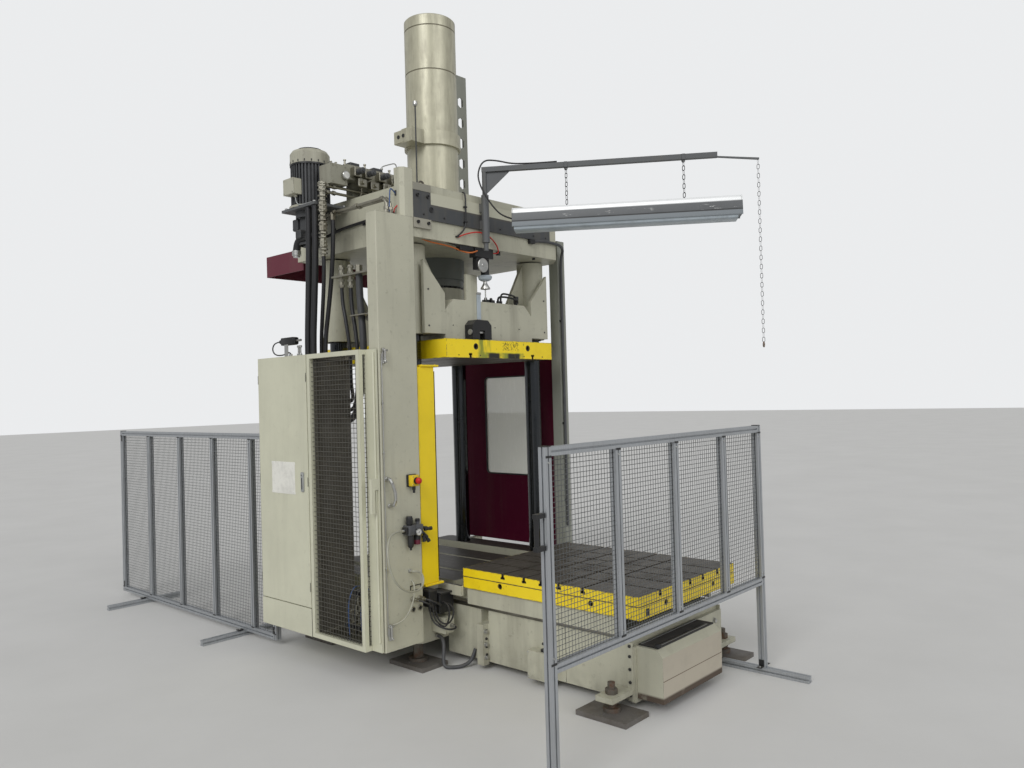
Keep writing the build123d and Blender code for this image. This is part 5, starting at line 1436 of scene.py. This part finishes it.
# %% Emergency stop
riser_face, stop_x, stop_y, stop_z = -0.652, -0.866, -0.704, 1.216
gland_y = riser_face - 0.03
stop_back = bmesh.new()
block(stop_back, (-0.902, riser_face - 0.018, 1.178), (-0.83, riser_face, 1.254), 0.003)
rod(stop_back, (stop_x, gland_y, 1.18), (stop_x, gland_y, 1.158), 0.011, 6)
rod(stop_back, (stop_x, gland_y, 1.16), (stop_x, gland_y, 1.14), 0.008, 12)
neck = [(0.0, 0.0), (0.021, 0.0), (0.021, 0.004), (0.012, 0.006), (0.012, 0.022), (0.0, 0.022)]
lathe(stop_back, neck, (stop_x, stop_y, stop_z), front, 20)
piece("stop_base_and_gland", stop_back, "black_plastic")
stop_box = bmesh.new()
block(stop_box, (-0.898, stop_y, 1.182), (-0.834, riser_face - 0.016, 1.25), 0.005, 2)
piece("stop_box", stop_box, "box_yellow", stands_for=("emergency_stop",))
stop_head = bmesh.new()
button = [(0.0, 0.014), (0.015, 0.014), (0.02, 0.018), (0.021, 0.026), (0.018, 0.034), (0.01, 0.039)]
lathe(stop_head, button + [(0.0, 0.04)], (stop_x, stop_y, stop_z), front, 28)
piece("stop_button", stop_head, "button_red")
stop_screws = bmesh.new()
for spot in product((-0.89, -0.842), (stop_y,), (1.19, 1.242)):
    cap_screw(stop_screws, spot, front, 0.0035, 0.002)
piece("stop_screws", stop_screws, "bright_steel")
print("stop at z", stop_z)

# %% Air service unit
air_y, cup_x, knob_x, air_top = -0.684, -0.846, -0.912, 0.945
port = (-0.69, 0.918)
dial_x, dial_z = -0.872, 0.902
air_body = bmesh.new()
for x0, x1 in ((-0.938, -0.884), (-0.88, -0.823)):
    block(air_body, (x0, -0.712, 0.885), (x1, riser_face, air_top), 0.004, 2)
block(air_body, (-0.888, -0.706, 0.893), (-0.876, riser_face, 0.937), 0.001)
plug(air_body, 0.013, air_top, 0.962, (cup_x, air_y, 0.0), steps=18)
piece("air_body", air_body, "dark_plastic", stands_for=("air_unit",))
air_black = bmesh.new()
grip = [(0.0, air_top), (0.017, air_top), (0.0205, 0.952), (0.0205, 0.992), (0.018, 1.0), (0.0, 1.001)]
lathe(air_black, grip, (knob_x, air_y, 0.0), steps=24)
for angle in around(12):
    spot = Vector((knob_x + 0.0206 * math.cos(angle), air_y + 0.0206 * math.sin(angle), 0.0))
    rod(air_black, spot + Vector((0, 0, 0.955)), spot + Vector((0, 0, 0.99)), 0.0014, 5)
cup = [(0.0, 0.962), (0.015, 0.962), (0.015, 0.976), (0.011, 0.98), (0.0, 0.98)]
lathe(air_black, cup, (cup_x, air_y, 0.0), steps=18)
block(air_black, (-0.954, -0.705, 0.895), (-0.937, -0.66, 0.938), 0.004)
rod(air_black, (-0.954, *port), (-0.962, *port), 0.012, 14)
rod(air_black, (-0.905, air_y, 0.805), (-0.905, air_y, 0.792), 0.007, 10)
fittings = (
    ((-0.823, -0.69, 0.925), (1, 0, -0.35), 0.05),
    ((-0.823, -0.684, 0.905), (0.8, -0.1, -0.9), 0.07),
    ((-0.796, -0.69, 0.905), (1, -0.2, 0.05), 0.052),
    ((-0.8, -0.688, 0.88), (0.55, -0.2, -0.9), 0.062),
    ((-0.815, -0.7, 0.872), (0.1, -0.1, -1), 0.04),
)
for spot, way, length in fittings:
    spot, way = Vector(spot), Vector(way).normalized()
    rod(air_black, spot, spot + 0.72 * length * way, 0.01, 12)
    rod(air_black, spot + 0.72 * length * way, spot + length * way, 0.0125, 12)
piece("air_knobs_and_fittings", air_black, "black_plastic")
bowls = bmesh.new()
for x, low in ((-0.905, 0.805), (-0.852, 0.82)):
    foot = [(0.0, low), (0.01, low), (0.0175, low + 0.01), (0.0195, low + 0.02)]
    lathe(bowls, foot + [(0.0195, 0.876), (0.017, 0.885), (0.0, 0.885)], (x, air_y, 0.0), steps=24)
piece("air_bowls", bowls, "black_rubber")
band = bmesh.new()
ring(band, 0.019, 0.0203, 0.822, 0.85, (-0.852, air_y, 0.0))
piece("air_bowl_red_band", band, "red_paint")
air_gauge = bmesh.new()
rim = [(0.0, 0.0), (0.019, 0.0), (0.021, 0.002), (0.021, 0.014), (0.0185, 0.016), (0.0185, 0.0148)]
lathe(air_gauge, rim + [(0.0, 0.0148)], (dial_x, -0.712, dial_z), front, 28)
piece("air_gauge_rim", air_gauge, "bright_steel")
air_dial = bmesh.new()
rod(air_dial, (dial_x, -0.727, dial_z), (dial_x, -0.7276, dial_z), 0.0182, 28)
piece("air_gauge_dial", air_dial, "white_plastic")
air_needle = bmesh.new()
rod(air_needle, (-0.877, -0.7282, 0.896), (-0.863, -0.7282, 0.912), 0.0008, 6)
rod(air_needle, (dial_x, -0.7276, dial_z), (dial_x, -0.729, dial_z), 0.0024, 12)
middle, first_mark, mark_step = Vector((dial_x, -0.7279, dial_z)), 225, 33.75
for i in range(9):
    angle = math.radians(first_mark - mark_step * i)
    out = Vector((math.cos(angle), 0.0, math.sin(angle)))
    rod(air_needle, middle + 0.0138 * out, middle + 0.0168 * out, 0.0006, 4)
piece("air_gauge_needle", air_needle, "black_plastic")
collet = bmesh.new()
rod(collet, (-0.962, *port), (-0.974, *port), 0.009, 12)
for near, far, radius, sides in ((0.0, 0.006, 0.013, 6), (0.006, 0.018, 0.009, 12)):
    rod(collet, (-0.893, riser_face - near, 0.659), (-0.893, riser_face - far, 0.659), radius, sides)
piece("tube_collets", collet, "bright_steel")
free_cord("air_tube", [
    (-0.964, *port), (-1.03, -0.698, 0.925), (-1.115, -0.735, 0.905), (-1.162, -0.772, 0.835),
    (-1.16, -0.788, 0.73), (-1.105, -0.782, 0.63), (-1.01, -0.755, 0.568), (-0.915, -0.735, 0.546),
    (-0.848, -0.718, 0.562), (-0.824, -0.704, 0.61), (-0.846, -0.698, 0.652), (-0.89, -0.694, 0.662),
    (-0.893, -0.668, 0.659)
], 0.013, "clear_tube")

# %% [markdown]
# ## Sockets, label frame and light curtain
# Below the air unit are four round sockets, two of them in use, and an empty
# label frame. The light curtain has a dark window strip along its inner side
# and flanged ends. Its yellow housing follows with the conduits.

# %% Sockets, frame and curtain ends
sockets = bmesh.new()
holes = bmesh.new()
collar = [(0.012, 0.0), (0.018, 0.0), (0.018, 0.005), (0.0155, 0.007), (0.012, 0.007), (0.012, 0.0)]
used_sockets, free_sockets = ((-0.873, 0.48), (-0.817, 0.478)), ((-0.873, 0.418), (-0.817, 0.419))
for x, z in used_sockets + free_sockets:
    lathe(sockets, collar, (x, riser_face, z), front, 20)
    rod(holes, (x, riser_face, z), (x, riser_face - 0.002, z), 0.0122, 18)
for x, z in used_sockets:
    rod(sockets, (x, riser_face, z), (x, riser_face - 0.04, z), 0.0125, 14)
    rod(sockets, (x, riser_face - 0.04, z), (x, riser_face - 0.06, z), 0.01, 14, 0.007)
piece("socket_rings", sockets, "valve_steel")
x0, x1, z0, z1, rail = -0.893, -0.803, 0.53, 0.566, 0.006
bars = (
    (x0, z0, x1, z0 + rail), (x0, z1 - rail, x1, z1), (x0, z0, x0 + rail, z1), (x1 - rail, z0, x1, z1)
)
for x0, z0, x1, z1 in bars:
    block(holes, (x0, riser_face - 0.003, z0), (x1, riser_face, z1), 0.0008)
for z in (0.6, 1.0, 1.4, 1.8):
    rod(holes, (-0.786, -0.64, z), (-0.7855, -0.64, z), 0.004, 10)
piece("socket_holes_and_label_frame", holes, "black_plastic")
curtain_ends = bmesh.new()
for z0, z1 in ((0.5345, 0.5485), (1.922, 1.9355)):
    block(curtain_ends, (-0.764, -0.662, z0), (-0.612, -0.584, z1), 0.003)
    for x in (-0.745, -0.632):
        cap_screw(curtain_ends, (x, -0.645, z1), up, 0.005, 0.003)
piece("curtain_end_caps", curtain_ends, "curtain_yellow")
curtain_window = bmesh.new()
block(curtain_window, (-0.626, -0.632, 0.575), (-0.6245, -0.612, 1.895), 0.0004)
piece("curtain_window", curtain_window, "black_plastic")
for n, ((x, z0), drop) in enumerate(zip(used_sockets, (0.1, 0.07))):
    points = [
        (x, riser_face - 0.058, z0), (x + 0.01, riser_face - 0.09, z0 - 0.004),
        (x + 0.055, riser_face - 0.1, z0 - 0.03), (x + 0.1, riser_face - 0.085, z0 - 0.7 * drop),
        (x + 0.12, riser_face - 0.06, z0 - drop), (-0.712 + 0.03 * n, -0.65, 0.425)
    ]
    swept(f"socket_cable_{n + 1}", points, 0.011, "black_rubber")
swept("riser_tube", [
    (-0.88, riser_face, 0.598), (-0.88, riser_face - 0.022, 0.59), (-0.884, riser_face - 0.034, 0.54),
    (-0.905, riser_face - 0.04, 0.47), (-0.95, riser_face - 0.04, 0.405),
    (-1.0, riser_face - 0.03, 0.368), (-1.04, riser_face - 0.004, 0.36)
], 0.01, "clear_tube", sides=7)
print("pieces of the riser's front:", [name for name in pieces if "socket" in name or "air" in name])

# %% [markdown]
# ## Cabinet and cage
# The cabinet's door has a flat lever lock, and a blank sheet is taped to it.
# A connector stands on the roof, with its cable in a loop. The cage beside
# it is closed by two toggle latches and a bow lever on the riser's edge, and
# a small valve group with three cables stands on its floor.

# %% Lock, sheet and roof connector
lock = bmesh.new()
block(lock, (-1.1775, 0.05, 1.135), (-1.1668, 0.08, 1.262), 0.004, 2)
keyhole_at = (0.065, 1.243)
plug(lock, 0.011, 0.0, 0.002, (-1.1775, *keyhole_at), left, 18)
piece("lock_plate", lock, "grey_plastic", "cabinet_door", ("cabinet_handle",))
keyhole = bmesh.new()
rod(keyhole, (-1.1775, *keyhole_at), (-1.18, *keyhole_at), 0.0045, 12)
block(keyhole, (-1.1782, 0.06, 1.15), (-1.1772, 0.07, 1.225), 0.0008)
for y, z in product((0.01, 0.586), (0.52, 1.2, 1.88)):
    block(keyhole, (-1.1682, y - 0.002, z - 0.03), (-1.1668, y + 0.002, z + 0.03), 0.0005)
piece("keyhole_and_seals", keyhole, "black_plastic", "cabinet_door")
note = bmesh.new()
block(note, (-1.168, 0.157, 1.111), (-1.1671, 0.432, 1.324), 0.0002)
for y, z in product((0.172, 0.417), (1.12, 1.315)):
    block(note, (-1.1684, y - 0.018, z - 0.008), (-1.1671, y + 0.018, z + 0.008), 0.0002)
piece("taped_sheet", note, "paper", "cabinet_door")
roof = bmesh.new()
block(roof, (-1.125, 0.215, 2.108), (-1.08, 0.36, 2.16), 0.006, 2)
rod(roof, (-1.102, 0.36, 2.136), (-1.102, 0.392, 2.136), 0.014, 14)
block(roof, (-1.12, 0.2, 2.112), (-1.085, 0.216, 2.156), 0.003)
piece("roof_connector", roof, "black_plastic")
roof_steel = bmesh.new()
block(roof_steel, (-1.128, 0.27, 2.0295), (-1.122, 0.31, 2.112), 0.001)
block(roof_steel, (-1.128, 0.27, 2.0295), (-1.09, 0.31, 2.0335), 0.001)
for y in (0.182, 0.16):
    rod(roof_steel, (-1.1, y, 2.03), (-1.1, y, 2.098), 0.006, 10)
    bolt(roof_steel, (-1.1, y, 2.03), up, 0.02, 0.012)
    bolt(roof_steel, (-1.1, y, 2.086), up, 0.018, 0.014, 0.0)
rod(roof_steel, (-1.102, 0.2, 2.135), (-1.102, 0.15, 2.135), 0.008, 12)
rod(roof_steel, (-1.1, 0.276, 2.03), (-1.1, 0.276, 2.048), 0.011, 6)
piece("roof_fittings", roof_steel, "bright_steel")
swept("roof_cable", [
    (-1.102, 0.39, 2.136), (-1.103, 0.43, 2.138), (-1.104, 0.482, 2.122), (-1.104, 0.497, 2.085),
    (-1.103, 0.466, 2.052), (-1.102, 0.4, 2.043), (-1.101, 0.33, 2.05), (-1.1, 0.286, 2.062),
    (-1.1, 0.276, 2.046)
], 0.009, "black_rubber", sides=7)
print("roof pieces:", [n for n in pieces if "roof" in n])

# %% Latches of the cage, and the valve group inside it
latches = bmesh.new()
latch_x = -1.063
for z in (1.985, 0.32):
    block(latches, (-1.074, -0.668, z - 0.048), (-1.052, -0.6515, z + 0.048), 0.003)
    rod(latches, (latch_x, -0.676, z - 0.04), (latch_x, -0.676, z + 0.04), 0.0075, 12)
    rod(latches, (latch_x, -0.668, z - 0.03), (latch_x, -0.69, z - 0.036), 0.006, 10)
    rod(latches, (-1.08, -0.672, z + 0.034), (-1.04, -0.672, z + 0.034), 0.006, 10)
    for side in (-1, 1):
        cap_screw(latches, (latch_x, -0.668, z + side * 0.042), front, 0.005, 0.004)
bow = [
    (-1.056, -0.652, 1.242), (-1.056, -0.684, 1.24), (-1.05, -0.698, 1.215), (-1.034, -0.704, 1.16),
    (-1.03, -0.702, 1.11), (-1.034, -0.69, 1.084), (-1.04, -0.652, 1.078)
]
for a, b in zip(bow, bow[1:]):
    rod(latches, a, b, 0.0105, 10)
for spot in (bow[0], bow[-1]):
    rod(latches, spot, (spot[0], -0.66, spot[2]), 0.014, 16)
rod(latches, (-1.078, -0.66, 0.3), (-1.078, -0.66, 2.0), 0.0035, 8)
for z in (0.7, 1.4, 1.7):
    block(latches, (-1.084, -0.664, z - 0.006), (-1.072, -0.6515, z + 0.006), 0.001)
piece("cage_latches", latches, "bright_steel")
shelf = bmesh.new()
block(shelf, (-1.12, -0.45, 0.208), (-0.85, -0.06, 0.232), 0.003)
valve_row = (-0.395, -0.33, -0.265, -0.2)
for y in valve_row:
    block(shelf, (-0.99, y - 0.024, 0.232), (-0.9, y + 0.024, 0.33), 0.004)
    block(shelf, (-0.98, y - 0.02, 0.33), (-0.91, y + 0.02, 0.4), 0.004)
    rod(shelf, (-0.945, y, 0.4), (-0.945, y, 0.45 + 0.15 * abs(y + 0.3)), 0.014, 14)
    rod(shelf, (-0.99, y, 0.285), (-1.025, y, 0.285), 0.013, 6)
    rod(shelf, (-0.98, y, 0.365), (-1.01, y, 0.365), 0.009, 10)
piece("cage_valves", shelf, "valve_steel")
caps = bmesh.new()
for y in valve_row:
    rod(caps, (-1.025, y, 0.285), (-1.05, y, 0.285), 0.017, 12)
    block(caps, (-0.975, y - 0.016, 0.455), (-0.915, y + 0.016, 0.492), 0.003)
piece("cage_valve_caps", caps, "black_plastic")
for n, y in enumerate(valve_row[:3]):
    swept(f"cage_cable_{n + 1}", [
        (-0.945, y, 0.48), (-0.95, y, 0.52), (-1.02, y + 0.01, 0.54), (-1.06, y + 0.02, 0.44),
        (-1.062, y + 0.015, 0.3), (-1.06, y + 0.01, 0.235)
    ], 0.009, "blue_cable" if n != 1 else "black_rubber")
print("cage pieces:", [n for n in pieces if "cage" in n])

# %% [markdown]
# ## Bed, base and end box
# On the bed's front corner sit a dark duct, a small cream box with a plug
# and a conduit that runs along the floor to the table's base. The end box
# has a black cover with bright strips and a round knob. The junction box
# carries a connector, and plates are bolted to the table base's far end.

# %% Duct, box, conduit and connector
bed_face = -0.559
duct = bmesh.new()
block(duct, (-0.664, -0.668, 0.345), (-0.54, bed_face, 0.476), 0.004)
block(duct, (-0.672, -0.69, 0.47), (-0.538, bed_face, 0.482), 0.002)
block(duct, (-0.738, -0.656, 0.398), (-0.668, bed_face, 0.504), 0.006)
for x in (-0.726, -0.703, -0.68):
    rod(duct, (x, -0.642, 0.402), (x, -0.646, 0.376), 0.009, 12)
block(duct, (-0.548, -1.456, 0.2145), (-0.502, -1.4, 0.232), 0.003)
block(duct, (-0.542, -1.45, 0.232), (-0.508, -1.42, 0.252), 0.004)
rod(duct, (-0.525, -1.436, 0.252), (-0.525, -1.4, 0.258), 0.008, 12)
rod(duct, (-0.44, -2.14, 0.352), (-0.44, -2.14, 0.372), 0.02, 20, 0.017)
block(duct, (-0.476, -2.0955, 0.516), (-0.442, -2.0915, 0.556), 0.001)
piece("dark_duct_and_knobs", duct, "black_plastic")
plug_box = bmesh.new()
block(plug_box, (-0.64, -0.688, 0.213), (-0.556, bed_face, 0.317), 0.003)
piece("small_box", plug_box, "cream_paint")
plugs = bmesh.new()
plug_x = -0.586
rod(plugs, (plug_x, -0.688, 0.262), (plug_x, -0.706, 0.262), 0.014, 6)
rod(plugs, (plug_x, -0.706, 0.262), (plug_x, -0.726, 0.26), 0.01, 14)
for spot in product((-0.632, -0.564), (-0.688,), (0.222, 0.308)):
    cap_screw(plugs, spot, front, 0.0035, 0.002)
for spot in product((-0.56,), (-1.466, -1.315), (0.058, 0.205)):
    cap_screw(plugs, spot, left, 0.0045, 0.003)
for y, x0, x1 in ((-2.132, -0.4, 0.1), (-2.036, -0.44, 0.145)):
    block(plugs, (x0, y - 0.007, 0.3525), (x1, y + 0.007, 0.357), 0.001)
rod(plugs, (-0.6, bed_face, 0.18), (-0.6, -0.58, 0.18), 0.017, 6)
piece("plugs_strips_and_screws", plugs, "bright_steel")
bed_cables = ((-0.726, plug_x, 0.26), (-0.703, -0.64, 0.42), (-0.68, -0.6, 0.4))
for n, (x0, x1, z1) in enumerate(bed_cables):
    points = [
        (x0, -0.645, 0.38), (x0 - 0.008, -0.66, 0.335), (x0 + 0.005, -0.7, 0.29),
        (0.5 * (x0 + x1), -0.745, 0.255 + 0.02 * n), (x1, -0.745, z1 - 0.004),
        (x1, -0.722 if n == 0 else -0.667, z1)
    ]
    swept(f"bed_cable_{n + 1}", points, 0.012, "black_rubber")
free_cord("floor_conduit", [
    (-0.6, -0.576, 0.18), (-0.602, -0.616, 0.178), (-0.618, -0.65, 0.14), (-0.645, -0.668, 0.06),
    (-0.66, -0.692, 0.015), (-0.632, -0.738, 0.013), (-0.575, -0.775, 0.014), (-0.525, -0.795, 0.035),
    (-0.5, -0.803, 0.08), (-0.488, -0.805, 0.11)
], 0.024, "grey_hose")

# %% End plates of the table's base
posts = bmesh.new()
for side in (-1, 1):
    x0, x1 = spanned(side * 0.489, side * 0.497)
    block(posts, (x0, -2.012, 0.046), (x1, -1.976, 0.366), 0.001)
piece("end_plates", posts, "cream_paint")
post_bolts = bmesh.new()
for side in (-1, 1):
    for z in (0.08, 0.15, 0.22, 0.29, 0.345):
        bolt(post_bolts, (side * 0.497, -1.994, z), (side, 0, 0), 0.016, 0.008, 0.0)
    for z in (0.1, 0.15, 0.2, 0.25):
        bolt(post_bolts, (side * 0.512, -0.925, z), front, 0.016, 0.008, 0.0)
piece("post_bolts", post_bolts, "black_plastic")
print("base pieces:", [n for n in pieces if "duct" in n or "post" in n])

# %% [markdown]
# ## Conduits at the right front
# At the crosshead's right end a small dark box hangs under the front edge. A
# grey conduit comes out of it, turns down past the ram's corner and goes
# along the guard post. The guard's window lies in a black rubber seal.

# %% Conduits, side hose and light curtain
conduit_box = bmesh.new()
block(conduit_box, (0.33, -0.668, 2.838), (0.385, -0.6395, 2.872), 0.003)
for z in (2.3, 1.5, 0.9):
    block(conduit_box, (0.8, -0.556, z - 0.008), (0.836, -0.5415, z + 0.008), 0.001)
for y in (-0.16, 0.17):
    block(conduit_box, (-0.8, y - 0.01, 2.894), (-0.7855, y + 0.01, 2.926), 0.002)
piece("conduit_clips", conduit_box, "black_plastic")
drop = (0.818, -0.556)
swept("right_conduit", [
    (0.385, -0.656, 2.858), (0.48, -0.658, 2.872), (0.6, -0.658, 2.872), (0.7, -0.65, 2.868),
    (0.8, -0.6, 2.85), (0.818, -0.56, 2.8), (*drop, 2.6), (*drop, 1.6), (*drop, 0.7)
], 0.022, "grey_hose", sides=9)
swept("crosshead_side_hose", [
    (-0.794, -0.56, 2.93), (-0.796, -0.42, 2.926), (-0.797, -0.16, 2.918), (-0.797, 0.02, 2.912),
    (-0.796, 0.17, 2.898), (-0.8, 0.23, 2.88), (-0.85, 0.262, 2.864)
], 0.02, "black_rubber", sides=9)
curtain = bmesh.new()
block(curtain, (-0.7865, -0.652, 0.548), (-0.648, -0.592, 1.922), 0.003)
block(curtain, (-0.7865, -0.6535, 0.548), (-0.78, -0.64, 1.922), 0.0008)
for z in (0.76, 1.23, 1.7):
    cap_screw(curtain, (-0.672, -0.652, z), front, 0.004, 0.0015)
piece("curtain_housing", curtain, "curtain_yellow", stands_for=("light_curtain",))
y0, y1, z0, z1, corner = -0.266, 0.31, 1.074, 1.885, 0.08
seal_line = [
    (0.02, z0), (y1 - corner, z0), (y1, z0), (y1, z0 + corner), (y1, z1 - corner), (y1, z1),
    (y1 - corner, z1)
]
seal_line += [
    (y0 + corner, z1), (y0, z1), (y0, z1 - corner), (y0, z0 + corner), (y0, z0), (y0 + corner, z0),
    (0.022, z0)
]
seal_points = [(0.8275, y, z) for y, z in seal_line]
swept("window_seal", seal_points, 0.014, "black_rubber")
print("all pieces:", len(pieces))

# %% [markdown]
# ## Floor
# A plain pale floor carries the press and shows its shadow.

# %% Floor
half_side = 60.0
slab = bmesh.new()
bmesh.ops.create_grid(slab, x_segments=1, y_segments=1, size=half_side)
floor_mesh = bpy.data.meshes.new("floor")
slab.to_mesh(floor_mesh)
slab.free()
floor = bpy.data.objects.new("floor", floor_mesh)
floor_paint = Finish("pale_floor", (0.64, 0.635, 0.62), 0.85)
floor_paint.coat(floor_paint.cloud(0.9, 0.35, 0.75), (0.6, 0.595, 0.58))
floor.data.materials.append(floor_paint.done())
bpy.context.scene.collection.objects.link(floor)
print("floor:", floor.dimensions[:])

# %% [markdown]
